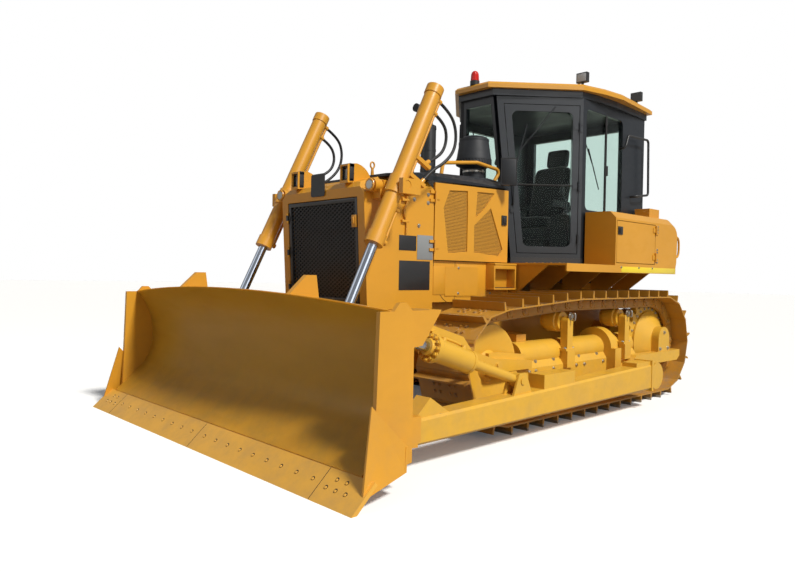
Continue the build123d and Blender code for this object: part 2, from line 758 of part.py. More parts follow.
# Drawbar: jaw with a vertical pin bore
DRAWBAR_BORE = 24.0
DRAWBAR_HALF = 95.0
DRAWBAR_LOW = 470.0
DRAWBAR_THICKNESS = 90.0
DRAWBAR_Y = REAR_END - 70
with BuildPart() as drawbar:
    block(-DRAWBAR_HALF * 1.6, DRAWBAR_HALF * 1.6, REAR_CASE_END, REAR_CASE_END + 40,
          DRAWBAR_LOW - 20, DRAWBAR_LOW + DRAWBAR_THICKNESS + 110)
    block(-DRAWBAR_HALF, DRAWBAR_HALF, REAR_CASE_END + 40, DRAWBAR_Y, DRAWBAR_LOW,
          DRAWBAR_LOW + DRAWBAR_THICKNESS)
    shaft((0, DRAWBAR_Y, DRAWBAR_LOW), (0, 0, 1), 70, DRAWBAR_THICKNESS)
    shaft((0, DRAWBAR_Y, DRAWBAR_LOW), (0, 0, 1), DRAWBAR_BORE, DRAWBAR_THICKNESS, Mode.SUBTRACT)
save(drawbar, "drawbar")

# Engine as one plain block, and the radiator core behind the grille
with BuildPart() as engine_block:
    block(-300, 300, -1000, 120, 790, 1620)
    prism_x(((-880, 620), (-300, 620), (-300, 791), (-1000, 791)), -230, 230)
    for mount_y in (-900, -60):
        block(-HULL_HALF + HULL_WALL + SEAT_GAP, HULL_HALF - HULL_WALL - SEAT_GAP, mount_y, mount_y + 110, 800, 880)
    prism_x(((120, 700), (HULL_REAR - HULL_WALL - 40, 560), (HULL_REAR - HULL_WALL - 40, 850), (120, 1200)), -190, 190)
save(engine_block, "engine_block")

RADIATOR_FRONT = -1380.0
RADIATOR_DEPTH = 110.0
with BuildPart() as radiator_core:
    block(-GUARD_HALF + GUARD_WALL + SEAT_GAP, GUARD_HALF - GUARD_WALL - SEAT_GAP, RADIATOR_FRONT,
          RADIATOR_FRONT + RADIATOR_DEPTH, 965, 1770)
    with Locations((0, RADIATOR_FRONT, 1365)):
        Box(860, 40, 720, mode=Mode.SUBTRACT)
save(radiator_core, "radiator_core")

# Nose guard: a box open at the rear with a chamfered roof and a window for the grille
FRONT_WALL = 60.0
NOSE_CHAMFER = 72.0
NOSE_ROOF_BACK = GUARD_FRONT_TOP + 200
DOOR_X = 524.0
GRILLE_SET_BACK = 4.0
GRILLE_LEAF = 30.0
GRILLE_HINGES = (80.0, 360.0, 640.0)
ENGINE_HINGES = (90.0, 480.0)


def front_lean(z):
    """Y of the nose's leaning front face at a height."""
    share = (z - GUARD_LOW) / (GUARD_TOP - 40 - GUARD_LOW)
    return GUARD_FRONT_LOW + (GUARD_FRONT_TOP - GUARD_FRONT_LOW) * share


GRILLE_HINGE = Plane(
    origin=(-GRILLE_HALF - DOOR_GAP / 2, front_lean(GRILLE_LOW) - HINGE_STAND, GRILLE_LOW),
    x_dir=(1, 0, 0),
    z_dir=(0, front_lean(GRILLE_HIGH) - front_lean(GRILLE_LOW), GRILLE_HIGH - GRILLE_LOW),
)
ENGINE_HINGE = Plane(origin=(DOOR_X + HINGE_STAND, GUARD_REAR + DOOR_GAP / 2, ENGINE_DOOR_LOW), x_dir=(0, 1, 0), z_dir=(0, 0, 1))
ENGINE_HINGE_RIGHT = Plane(origin=(-DOOR_X - HINGE_STAND, GUARD_REAR + DOOR_GAP / 2, ENGINE_DOOR_LOW), x_dir=(0, 1, 0), z_dir=(0, 0, 1))
with BuildPart() as radiator_guard:
    prism_x(
        (
            (GUARD_FRONT_LOW, GUARD_LOW),
            (GUARD_FRONT_TOP, GUARD_TOP - 40),
            (GUARD_FRONT_TOP + 30, GUARD_TOP),
            (NOSE_ROOF_BACK, GUARD_TOP + 53),
            (GUARD_REAR, HOOD_LOW_FRONT - 2),
            (GUARD_REAR, GUARD_LOW),
        ),
        -GUARD_HALF,
        GUARD_HALF,
    )
    side_edges = radiator_guard.edges().filter_by(Plane.YZ).filter_by(lambda e: e.center().Y < GUARD_REAR - 1)
    chamfer(side_edges.filter_by(lambda e: e.center().Z > GUARD_TOP), NOSE_CHAMFER)
    prism_x(
        (
            (GUARD_FRONT_LOW + FRONT_WALL, GUARD_LOW - 1),
            (GUARD_FRONT_TOP + FRONT_WALL, GUARD_TOP - 70),
            (GUARD_REAR + 1, HOOD_LOW_FRONT - 80),
            (GUARD_REAR + 1, GUARD_LOW - 1),
        ),
        -GUARD_HALF + GUARD_WALL,
        GUARD_HALF - GUARD_WALL,
        Mode.SUBTRACT,
    )
    block(-GRILLE_HALF - DOOR_GAP, GRILLE_HALF + DOOR_GAP, GUARD_FRONT_TOP - 50, GUARD_FRONT_LOW + FRONT_WALL + 20,
          GRILLE_LOW - DOOR_GAP, GRILLE_HIGH + DOOR_GAP, Mode.SUBTRACT)
    for x0, x1 in ((HULL_HALF + SEAT_GAP, GUARD_HALF - GUARD_WALL + 1), (-GUARD_HALF + GUARD_WALL - 1, -HULL_HALF - SEAT_GAP)):
        block(x0, x1, HULL_FRONT + 40, GUARD_REAR - 20, GUARD_LOW + 30, HULL_TOP - 30)
    frame_side(GRILLE_HINGE, -1, GRILLE_HINGES, GRILLE_LEAF)
    frame_side(ENGINE_HINGE, -1, ENGINE_HINGES, HINGE_LEAF, HINGE_STAND + DOOR_X - GUARD_HALF)
    frame_side(ENGINE_HINGE_RIGHT, 1, ENGINE_HINGES, HINGE_LEAF, HINGE_STAND + DOOR_X - GUARD_HALF)
save(radiator_guard, "radiator_guard")

# Grille door: frame and bars, leaning with the nose
MESH_COLUMNS = 8
MESH_ROWS = 9
MESH_BAR = 9.0
GRILLE_RIM = 30.0
with BuildPart() as grille_door:
    face_low, face_high = front_lean(GRILLE_LOW), front_lean(GRILLE_HIGH)
    leaning = (
        (face_low + GRILLE_SET_BACK, GRILLE_LOW),
        (face_high + GRILLE_SET_BACK, GRILLE_HIGH),
        (face_high + GRILLE_SET_BACK + GRILLE_THICKNESS, GRILLE_HIGH),
        (face_low + GRILLE_SET_BACK + GRILLE_THICKNESS, GRILLE_LOW),
    )
    prism_x(leaning, -GRILLE_HALF, GRILLE_HALF)
    wide = (2 * GRILLE_HALF - 2 * GRILLE_RIM) / MESH_COLUMNS
    tall = (GRILLE_HIGH - GRILLE_LOW - 2 * GRILLE_RIM) / MESH_ROWS
    with BuildSketch(Plane.XZ.offset(-face_high + 10)) as mesh:
        for columns, rows in ((MESH_COLUMNS, MESH_ROWS), (MESH_COLUMNS - 1, MESH_ROWS - 1)):
            with Locations((0, (GRILLE_LOW + GRILLE_HIGH) / 2)):
                with GridLocations(wide, tall, columns, rows):
                    Polygon(
                        (-wide / 2 + MESH_BAR, 0),
                        (0, -tall / 2 + MESH_BAR),
                        (wide / 2 - MESH_BAR, 0),
                        (0, tall / 2 - MESH_BAR),
                        align=None,
                    )
    extrude(mesh.sketch, amount=face_low - face_high + GRILLE_THICKNESS + 30, dir=(0, 1, 0), mode=Mode.SUBTRACT)
    door_side(GRILLE_HINGE, -1, GRILLE_HINGES, GRILLE_LEAF, HINGE_STAND + GRILLE_SET_BACK)
save(grille_door, "grille_door")

# Hood top, with a seat for the exhaust and one for the pre-cleaner
HOOD_CREST = 1998.0
HOOD_FLAT = 462.0
HOOD_LINE = (
    (GUARD_REAR, HOOD_CREST),
    (HOOD_REAR - 210, HOOD_CREST + 40),
    (HOOD_REAR, HOOD_CREST + 18),
)
STACK_SEAT = HOOD_CREST + 44 + SEAT_GAP
EXHAUST_X = 120.0
EXHAUST_Y = -430.0
PRECLEANER_X = 200.0
PRECLEANER_Y = 90.0
with BuildPart() as hood_top:
    prism_x(
        (
            (NOSE_ROOF_BACK, GUARD_TOP + 53 + SEAT_GAP),
            (NOSE_ROOF_BACK + 6, GUARD_TOP + 74),
            *HOOD_LINE,
            (HOOD_REAR, HOOD_LOW_REAR),
            (GUARD_REAR, HOOD_LOW_FRONT),
        ),
        -HOOD_HALF,
        HOOD_HALF,
    )
    prism_y(
        (
            (-HOOD_HALF, 1700),
            (HOOD_HALF, 1700),
            (HOOD_HALF, 1962),
            (HOOD_FLAT, 2012),
            (HOOD_FLAT - 60, 2100),
            (-HOOD_FLAT + 60, 2100),
            (-HOOD_FLAT, 2012),
            (-HOOD_HALF, 1962),
        ),
        NOSE_ROOF_BACK - 10,
        HOOD_REAR + 10,
        Mode.INTERSECT,
    )
    for x, y, radius in ((EXHAUST_X, EXHAUST_Y, 105), (PRECLEANER_X, PRECLEANER_Y, 112)):
        shaft((x, y, HOOD_LOW_REAR + 5), (0, 0, 1), radius, HOOD_CREST + 44 - HOOD_LOW_REAR - 5)
save(hood_top, "hood_top")

# Lower side panels between the nose guard and the cab
PANEL_LOW = 960.0
PANEL_X = GUARD_HALF - GUARD_WALL - SEAT_GAP
with BuildPart() as side_panel:
    block(PANEL_X - GUARD_WALL, PANEL_X, GUARD_REAR - 40, FENDER_FRONT - SEAT_GAP, PANEL_LOW, ENGINE_DOOR_LOW - DOOR_GAP)
    block(PANEL_X - 1, PANEL_X + 6, GUARD_REAR + 160, GUARD_REAR + 570, PANEL_LOW + 50, ENGINE_DOOR_LOW - 50)
save(both_sides(side_panel), "side_panels")

# Engine doors: sheet with three sunk fields for the perforations, hinged at the front edge
VENT_DEPTH = 12.0
VENT_FIELDS = (
    ((-592, 1358), (-355, 1378), (-355, 1750), (-362, 1885), (-585, 1868), (-655, 1724)),
    ((-253, 1668), (-129, 1759), (-4, 1898), (-235, 1890)),
    ((-268, 1376), (71, 1354), (124, 1415), (-50, 1765), (-270, 1602)),
)
with BuildPart() as left_engine_door:
    prism_x(
        (
            (GUARD_REAR + DOOR_GAP, ENGINE_DOOR_LOW),
            (ENGINE_DOOR_REAR, ENGINE_DOOR_LOW),
            (ENGINE_DOOR_REAR, ENGINE_DOOR_HIGH + 26),
            (GUARD_REAR + DOOR_GAP, ENGINE_DOOR_HIGH),
        ),
        DOOR_X - DOOR_SHEET,
        DOOR_X,
    )
    for field in VENT_FIELDS:
        prism_x(field, DOOR_X - VENT_DEPTH, DOOR_X + 1, Mode.SUBTRACT)
    door_side(ENGINE_HINGE, -1, ENGINE_HINGES)
save(left_engine_door, "left_engine_door")
save(mirrored(left_engine_door), "right_engine_door")

# Exhaust and air pre-cleaner
MUFFLER_RADIUS = 66.0
MUFFLER_TALL = 430.0
TIP_RADIUS = 36.0
TIP_HIGH = 2605.0
with BuildPart() as exhaust_stack:
    shaft((EXHAUST_X, EXHAUST_Y, STACK_SEAT), (0, 0, 1), MUFFLER_RADIUS, MUFFLER_TALL)
    tube(
        (
            (EXHAUST_X, EXHAUST_Y, STACK_SEAT + MUFFLER_TALL - 1),
            (EXHAUST_X, EXHAUST_Y, TIP_HIGH - 20),
            (EXHAUST_X, EXHAUST_Y - 165, TIP_HIGH),
        ),
        72,
        TIP_RADIUS,
    )
save(exhaust_stack, "exhaust_stack")

with BuildPart() as air_precleaner:
    with BuildSketch(Plane.XZ.offset(-PRECLEANER_Y)) as profile:
        with BuildLine():
            Polyline(
                (PRECLEANER_X, STACK_SEAT),
                (PRECLEANER_X + 95, STACK_SEAT),
                (PRECLEANER_X + 95, STACK_SEAT + 105),
                (PRECLEANER_X + 120, STACK_SEAT + 120),
                (PRECLEANER_X + 160, STACK_SEAT + 140),
                (PRECLEANER_X + 160, STACK_SEAT + 190),
                (PRECLEANER_X + 130, STACK_SEAT + 380),
                (PRECLEANER_X, STACK_SEAT + 390),
                close=True,
            )
        make_face()
    revolve(profile.sketch, axis=Axis((PRECLEANER_X, PRECLEANER_Y, 0), (0, 0, 1)))
save(air_precleaner, "air_precleaner")


def wall_sheet(plane, points, depth, thickness, mode=Mode.ADD, corner=0.0):
    """Extrude an outline drawn on a wall's plane, set in by a depth, with rounded corners."""
    with BuildSketch(plane.offset(depth)) as outline:
        with BuildLine():
            Polyline(*points, close=True)
        make_face()
        if corner:
            fillet(outline.vertices(), corner)
    extrude(outline.sketch, amount=thickness, dir=plane.z_dir, mode=mode)


# Cab walls
GLASS = 8.0
GLASS_RIM = 62.0
SILL = 40.0
HEAD_RAIL = 70.0
PILLAR = 62.0
slant_length = math.dist(CAB_PILLAR, CAB_FRONT_TOP)
slant_low = math.dist(CAB_PILLAR, CAB_FRONT_LOW)
slant = Plane(origin=(CAB_PILLAR[0], CAB_PILLAR[1], 0),
              x_dir=(CAB_FRONT_TOP[0] - CAB_PILLAR[0], CAB_FRONT_TOP[1] - CAB_PILLAR[1], 0),
              z_dir=(CAB_FRONT_TOP[1] - CAB_PILLAR[1], CAB_PILLAR[0] - CAB_FRONT_TOP[0], 0))
flank = Plane(origin=(CAB_REAR[0], CAB_REAR[1], 0),
              x_dir=(CAB_PILLAR[0] - CAB_REAR[0], CAB_PILLAR[1] - CAB_REAR[1], 0),
              z_dir=(CAB_PILLAR[1] - CAB_REAR[1], CAB_REAR[0] - CAB_PILLAR[0], 0))
flank_length = math.dist(CAB_REAR, CAB_PILLAR)


def slant_front(z):
    """Distance of the front pillar's leaning edge along the slanting wall."""
    share = (z - CAB_FLOOR) / (CAB_HEAD - CAB_FLOOR)
    return slant_low + (slant_length - slant_low) * share


def doorway(gap):
    """The doorway's outline on the slanting wall, smaller by a gap."""
    low, high = CAB_FLOOR + SILL + gap, CAB_HEAD - HEAD_RAIL - gap
    return (
        (PILLAR * 0.5 + gap, low),
        (slant_front(low) - PILLAR - gap, low),
        (slant_front(high) - PILLAR - gap, high),
        (PILLAR * 0.5 + gap, high),
    )


def door_window(gap):
    """The glass opening in the door."""
    low, high = CAB_FLOOR + SILL + DOOR_GAP + GLASS_RIM, CAB_HEAD - HEAD_RAIL - DOOR_GAP - GLASS_RIM
    return (
        (PILLAR * 0.5 + DOOR_GAP + GLASS_RIM + gap, low + gap),
        (slant_front(low) - PILLAR - DOOR_GAP - GLASS_RIM - gap, low + gap),
        (slant_front(high) - PILLAR - DOOR_GAP - GLASS_RIM - gap, high - gap),
        (PILLAR * 0.5 + DOOR_GAP + GLASS_RIM + gap, high - gap),
    )


CAB_HINGES = (120.0, 620.0, 1180.0)
cab_pin = slant.origin + slant.x_dir * (PILLAR * 0.5 + DOOR_GAP / 2) - slant.z_dir * HINGE_STAND
CAB_HINGE = Plane(origin=(cab_pin.X, cab_pin.Y, CAB_FLOOR + SILL), x_dir=slant.x_dir, z_dir=(0, 0, 1))
print("cab door hinge at", round(cab_pin.X, 3), round(cab_pin.Y, 3))
WINDOW_CORNER = 55.0
QUARTER_LOW = 1830.0
QUARTER_WINDOW_REAR = 470.0


def quarter_window(gap):
    """The rear quarter's glass opening on the flank wall."""
    low, high = QUARTER_LOW + gap, CAB_HEAD - HEAD_RAIL - 20 - gap
    near, far = QUARTER_WINDOW_REAR + gap, flank_length - PILLAR - gap
    return ((near, low), (far, low), (far, high), (near, high))


with BuildPart() as cab_left_frame:
    wall_sheet(
        slant,
        ((0, CAB_FLOOR), (slant_front(CAB_FLOOR), CAB_FLOOR), (slant_front(CAB_HEAD), CAB_HEAD), (0, CAB_HEAD)),
        0,
        CAB_WALL,
    )
    wall_sheet(slant, doorway(0), -1, CAB_WALL + 40, Mode.SUBTRACT)
    wall_sheet(
        flank,
        ((0, CAB_FLOOR), (flank_length, CAB_FLOOR), (flank_length, CAB_HEAD), (0, CAB_HEAD)),
        0,
        CAB_WALL,
    )
    wall_sheet(flank, quarter_window(0), -1, CAB_WALL + 2, Mode.SUBTRACT, WINDOW_CORNER)
    frame_side(CAB_HINGE, 1, CAB_HINGES, 30)
save(cab_left_frame, "cab_left_frame")
save(mirrored(cab_left_frame), "cab_right_frame")

with BuildPart() as left_cab_door:
    wall_sheet(slant, doorway(DOOR_GAP), 0, CAB_WALL)
    wall_sheet(slant, door_window(0), -1, CAB_WALL + 2, Mode.SUBTRACT, WINDOW_CORNER)
    door_side(CAB_HINGE, 1, CAB_HINGES)
save(left_cab_door, "left_cab_door")
save(mirrored(left_cab_door), "right_cab_door")

with BuildPart() as left_door_glass:
    wall_sheet(slant, door_window(SEAT_GAP), CAB_WALL / 2 - GLASS / 2, GLASS, corner=WINDOW_CORNER)
save(left_door_glass, "left_door_glass")
save(mirrored(left_door_glass), "right_door_glass")

# Front frame and glass, leaning forward at the top
front_lean_vector = (0, CAB_FRONT_TOP[1] - CAB_FRONT_LOW[1], CAB_HEAD - CAB_FLOOR)
front_height = math.hypot(front_lean_vector[1], front_lean_vector[2])
front_plane = Plane(origin=(0, CAB_FRONT_LOW[1], CAB_FLOOR), x_dir=(-1, 0, 0),
                    z_dir=(0, front_lean_vector[2], -front_lean_vector[1]))
CORNER_INSET = CAB_WALL * 0.78
FRONT_LOW_HALF = CAB_FRONT_LOW[0] - CORNER_INSET
FRONT_TOP_HALF = CAB_FRONT_TOP[0] - CORNER_INSET
FRONT_SILL = 560.0


def front_window(gap):
    """The front glass opening on the leaning plane."""
    low, high = FRONT_SILL + gap, front_height - HEAD_RAIL - gap
    rim = 34 + gap
    half_low = FRONT_LOW_HALF + (FRONT_TOP_HALF - FRONT_LOW_HALF) * low / front_height - rim
    half_high = FRONT_LOW_HALF + (FRONT_TOP_HALF - FRONT_LOW_HALF) * high / front_height - rim
    return ((-half_low, low), (half_low, low), (half_high, high), (-half_high, high))


with BuildPart() as cab_front_frame:
    wall_sheet(
        front_plane,
        (
            (-FRONT_LOW_HALF, 0),
            (FRONT_LOW_HALF, 0),
            (FRONT_TOP_HALF, front_height),
            (-FRONT_TOP_HALF, front_height),
        ),
        0,
        CAB_WALL,
    )
    wall_sheet(front_plane, front_window(0), -1, CAB_WALL + 2, Mode.SUBTRACT)
    block(-500, 500, 0, 900, CAB_FLOOR - 60, CAB_FLOOR, Mode.SUBTRACT)
    block(-500, 500, 0, 900, CAB_HEAD, CAB_HEAD + 60, Mode.SUBTRACT)
save(cab_front_frame, "cab_front_frame")

# Rear frame and glass
REAR_HALF = CAB_REAR[0] - CAB_WALL - 1
REAR_SILL = 1830.0
with BuildPart() as cab_rear_frame:
    block(-REAR_HALF, REAR_HALF, CAB_REAR[1] - CAB_WALL, CAB_REAR[1], CAB_FLOOR, CAB_HEAD)
    block(-REAR_HALF + 90, REAR_HALF - 90, CAB_REAR[1] - CAB_WALL - 1, CAB_REAR[1] + 1, REAR_SILL,
          CAB_HEAD - HEAD_RAIL - 20, Mode.SUBTRACT)
save(cab_rear_frame, "cab_rear_frame")

# The glasses that don't open: front, rear and both quarters
with BuildPart() as fixed_glasses:
    wall_sheet(flank, quarter_window(SEAT_GAP), CAB_WALL / 2 - GLASS / 2, GLASS, corner=WINDOW_CORNER)
    mirror(about=Plane.YZ)
    wall_sheet(front_plane, front_window(SEAT_GAP), CAB_WALL / 2 - GLASS / 2, GLASS)
    block(-REAR_HALF + 90 + SEAT_GAP, REAR_HALF - 90 - SEAT_GAP, CAB_REAR[1] - CAB_WALL / 2 - GLASS / 2,
          CAB_REAR[1] - CAB_WALL / 2 + GLASS / 2, REAR_SILL + SEAT_GAP, CAB_HEAD - HEAD_RAIL - 20 - SEAT_GAP)
save(fixed_glasses, "fixed_glasses")

# Cab floor and the plinth that carries it on the hull and rear case
with BuildPart() as cab_floor:
    prism_z(
        (
            CAB_FRONT_LOW,
            CAB_PILLAR,
            CAB_REAR,
            (-CAB_REAR[0], CAB_REAR[1]),
            (-CAB_PILLAR[0], CAB_PILLAR[1]),
            (-CAB_FRONT_LOW[0], CAB_FRONT_LOW[1]),
        ),
        FENDER_HIGH + SEAT_GAP,
        CAB_FLOOR - SEAT_GAP,
    )
    block(-HULL_HALF, HULL_HALF, CAB_FRONT_LOW[1] + 20, CAB_REAR[1] - 20, REAR_CASE_TOP + SEAT_GAP,
          FENDER_HIGH + 1)
save(cab_floor, "cab_floor")

# Roof: a dark header set back under the overhanging cap
ROOF_PLAN = ((205, 268), (800, 957), (868, 1250), (895, 1540), (818, 2300))
HEADER_PLAN = ((213, 330), (768, 985), (800, 1240), (812, 1560), (776, 2262))
HEADER_TOP = CAB_HEAD + 62


def whole_plan(half):
    """A plan outline completed on the other side."""
    return half + tuple((-x, y) for x, y in reversed(half))


with BuildPart() as cab_header:
    prism_z(whole_plan(HEADER_PLAN), CAB_HEAD + SEAT_GAP, HEADER_TOP)
save(cab_header, "cab_header")

with BuildPart() as cab_roof:
    prism_z(whole_plan(ROOF_PLAN), HEADER_TOP + SEAT_GAP, ROOF_HIGH)
    chamfer(cab_roof.edges().group_by(Axis.Z)[-1], 22)
save(cab_roof, "cab_roof")

# Seat: base with its slides and armrests, and the cushions
SEAT_Y = 1420.0
SEAT_HALF = 245.0
SEAT_TOP = CAB_FLOOR + 440
with BuildPart() as seat_base:
    block(-180, 180, SEAT_Y - 170, SEAT_Y + 170, CAB_FLOOR, CAB_FLOOR + 210)
    block(-220, 220, SEAT_Y - 230, SEAT_Y + 230, CAB_FLOOR + 209, SEAT_TOP - 120 - SEAT_GAP)
    for x_low in (-SEAT_HALF - 62, SEAT_HALF + 6):
        block(x_low, x_low + 56, SEAT_Y - 190, SEAT_Y + 200, SEAT_TOP + 110, SEAT_TOP + 170)
        block(x_low + 14, x_low + 42, SEAT_Y + 90, SEAT_Y + 140, CAB_FLOOR + 260, SEAT_TOP + 111)
        block(min(x_low + 14, 0), max(x_low + 42, 0), SEAT_Y + 90, SEAT_Y + 140, CAB_FLOOR + 240, CAB_FLOOR + 280)
save(seat_base, "seat_base")

with BuildPart() as operator_seat:
    block(-SEAT_HALF, SEAT_HALF, SEAT_Y - 270, SEAT_Y + 215, SEAT_TOP - 120, SEAT_TOP)
    prism_x(
        (
            (SEAT_Y + 150, SEAT_TOP - 1),
            (SEAT_Y + 270, SEAT_TOP - 1),
            (SEAT_Y + 380, SEAT_TOP + 590),
            (SEAT_Y + 285, SEAT_TOP + 590),
        ),
        -225,
        225,
    )
    prism_x(
        (
            (SEAT_Y + 290, SEAT_TOP + 589),
            (SEAT_Y + 375, SEAT_TOP + 589),
            (SEAT_Y + 405, SEAT_TOP + 780),
            (SEAT_Y + 325, SEAT_TOP + 780),
        ),
        -130,
        130,
    )
save(operator_seat, "operator_seat")

# Consoles: the dash behind the front glass and the two beside the seat
with BuildPart() as control_console:
    prism_x(
        (
            (640, CAB_FLOOR),
            (800, CAB_FLOOR),
            (760, CAB_FLOOR + 520),
            (640, CAB_FLOOR + 600),
        ),
        -190,
        190,
    )
    for x_low in (-560, 370):
        prism_x(
            (
                (SEAT_Y - 330, CAB_FLOOR),
                (SEAT_Y + 380, CAB_FLOOR),
                (SEAT_Y + 380, CAB_FLOOR + 420),
                (SEAT_Y - 60, CAB_FLOOR + 470),
                (SEAT_Y - 330, CAB_FLOOR + 440),
            ),
            x_low,
            x_low + 190,
        )
save(control_console, "control_console")

# Fenders: walkway plates with an outer flange, carried by brackets on the hull
with BuildPart() as fender:
    block(FENDER_INNER, FENDER_OUTER, FENDER_FRONT, FENDER_REAR, FENDER_LOW + 20, FENDER_HIGH)
    block(FENDER_OUTER - 14, FENDER_OUTER, FENDER_FRONT, FENDER_REAR, FENDER_LOW - 30, FENDER_HIGH)
    for rib_y in (FENDER_FRONT + 20, 700, 1250, 1800, FENDER_REAR - 60):
        prism_y(
            (
                (HULL_HALF + SEAT_GAP, REAR_CASE_TOP - 170),
                (HULL_HALF + 60, REAR_CASE_TOP - 170),
                (FENDER_OUTER - 200, FENDER_LOW + 21),
                (HULL_HALF + SEAT_GAP, FENDER_LOW + 21),
            ),
            rib_y,
            rib_y + 16,
        )
save(both_sides(fender), "fenders")

# Rear boxes
BOX_LOW = FENDER_HIGH + SEAT_GAP
BOX_TOP = 1800.0
BOX_CHAMFER = 62.0
BOX_HINGE = Plane(
    origin=(FENDER_OUTER + HINGE_STAND, BOX_SEAM - BOX_WALL - DOOR_GAP / 2, FENDER_HIGH + BOX_WALL),
    x_dir=(0, -1, 0),
    z_dir=(0, 0, 1),
)
BOX_HINGES = (50.0, 320.0)
BOX_REAR = 2400.0


def box_body(x_inner, x_outer):
    """A rear box: flat front, rounded rear end and the handle on it."""
    with BuildSketch(Plane.YZ.offset(min(x_inner, x_outer))) as outline:
        with BuildLine():
            Polyline((BOX_REAR - 90, BOX_LOW), (BOX_FRONT, BOX_LOW), (BOX_FRONT, BOX_TOP), (BOX_REAR - 190, BOX_TOP))
            ThreePointArc((BOX_REAR - 190, BOX_TOP), (BOX_REAR - 55, BOX_TOP - 62), (BOX_REAR, BOX_TOP - 210))
            Line((BOX_REAR, BOX_TOP - 210), (BOX_REAR - 90, BOX_LOW))
        make_face()
    extrude(outline.sketch, amount=abs(x_outer - x_inner), dir=(1, 0, 0))
    middle = (x_inner + x_outer) / 2
    tube(
        (
            (middle, BOX_REAR - 30, BOX_TOP - 215),
            (middle, BOX_REAR + 62, BOX_TOP - 215),
            (middle, BOX_REAR + 62, BOX_TOP - 375),
            (middle, BOX_REAR - 80, BOX_TOP - 375),
        ),
        30,
        13,
    )


with BuildPart() as left_box:
    box_body(BOX_INNER, FENDER_OUTER)
    block(BOX_INNER + 15, BOX_INNER + 175, 1990, BOX_REAR - 190, BOX_TOP - 1, BOX_TOP + 105)
    top_edge = left_box.edges().filter_by(lambda e: abs(e.center().X - FENDER_OUTER) < 1 and e.center().Z > BOX_TOP - 100)
    chamfer(top_edge, BOX_CHAMFER)
    block(BOX_INNER + BOX_WALL, FENDER_OUTER + 1, BOX_FRONT + BOX_WALL, BOX_SEAM - BOX_WALL,
          BOX_LOW + BOX_WALL, BOX_TOP - BOX_WALL - BOX_CHAMFER, Mode.SUBTRACT)
    frame_side(BOX_HINGE, 1, BOX_HINGES)
save(left_box, "left_box")

with BuildPart() as box_door:
    block(FENDER_OUTER - BOX_WALL, FENDER_OUTER, BOX_FRONT + BOX_WALL + DOOR_GAP, BOX_SEAM - BOX_WALL - DOOR_GAP,
          BOX_LOW + BOX_WALL + DOOR_GAP, BOX_TOP - BOX_WALL - BOX_CHAMFER - DOOR_GAP)
    door_side(BOX_HINGE, 1, BOX_HINGES)
save(box_door, "box_door")

with BuildPart() as right_tank:
    box_body(-BOX_INNER, -FENDER_OUTER)
    shaft((-(BOX_INNER + FENDER_OUTER) / 2 + 30, BOX_FRONT + 160, BOX_TOP - 1), (0, 0, 1), 62, 70)
    top_edge = right_tank.edges().filter_by(lambda e: abs(e.center().X + FENDER_OUTER) < 1 and e.center().Z > BOX_TOP - 100)
    chamfer(top_edge, BOX_CHAMFER)
save(right_tank, "right_tank")

# The tilt cylinder's and the brace's line over the push arms
ARM_MIDDLE = (ARM_INNER + ARM_OUTER) / 2
BRACE_REAR = (-747.0, 445.0)
BRACE_FRONT = (-1985.0, 838.0)
brace_way = (BRACE_FRONT[0] - BRACE_REAR[0], BRACE_FRONT[1] - BRACE_REAR[1])
brace_length = math.hypot(*brace_way)
BRACE_PIN = 26.0
BRACE_EYE = 52.0
BRACE_EYE_HALF = 34.0
CLEVIS_PLATE = 16.0
CLEVIS_PLATES = (ARM_MIDDLE - BRACE_EYE_HALF - SEAT_GAP - CLEVIS_PLATE, ARM_MIDDLE + BRACE_EYE_HALF + SEAT_GAP)


def arm_top(y):
    """Height just above the push arm's upper face."""
    share = (y - ARM_FRONT) / (ARM_REAR - ARM_FRONT)
    return ARM_FRONT_HIGH + (ARM_REAR_HIGH - ARM_FRONT_HIGH) * share + SEAT_GAP


def on_brace(side, distance):
    """A point along the brace from its rear pin."""
    share = distance / brace_length
    return side * ARM_MIDDLE, BRACE_REAR[0] + brace_way[0] * share, BRACE_REAR[1] + brace_way[1] * share


# Blade: curved plate crowned along its top, end plates, back beams, ribs and ears
PIN_RADIUS = 30.0
EYE_RADIUS = 62.0
CLEVIS_INNER = EYE_WIDTH / 2 + EAR_GAP


def blade_face(set_back):
    """The mouldboard's side line, moved back by a distance: (start, knee, deepest, top)."""
    lean = math.atan2(EDGE_KNEE[1] - EDGE_TOP[1], EDGE_KNEE[0] - EDGE_TOP[0])
    shift = (set_back * math.sin(lean), -set_back * math.cos(lean))
    return (
        (EDGE_TOP[0] + shift[0], EDGE_TOP[1] + shift[1]),
        (EDGE_KNEE[0] + shift[0], EDGE_KNEE[1] + shift[1]),
        (BLADE_DEEPEST + set_back, 640),
        (-2385 + set_back * 0.8, 1090 + set_back * 0.5),
    )


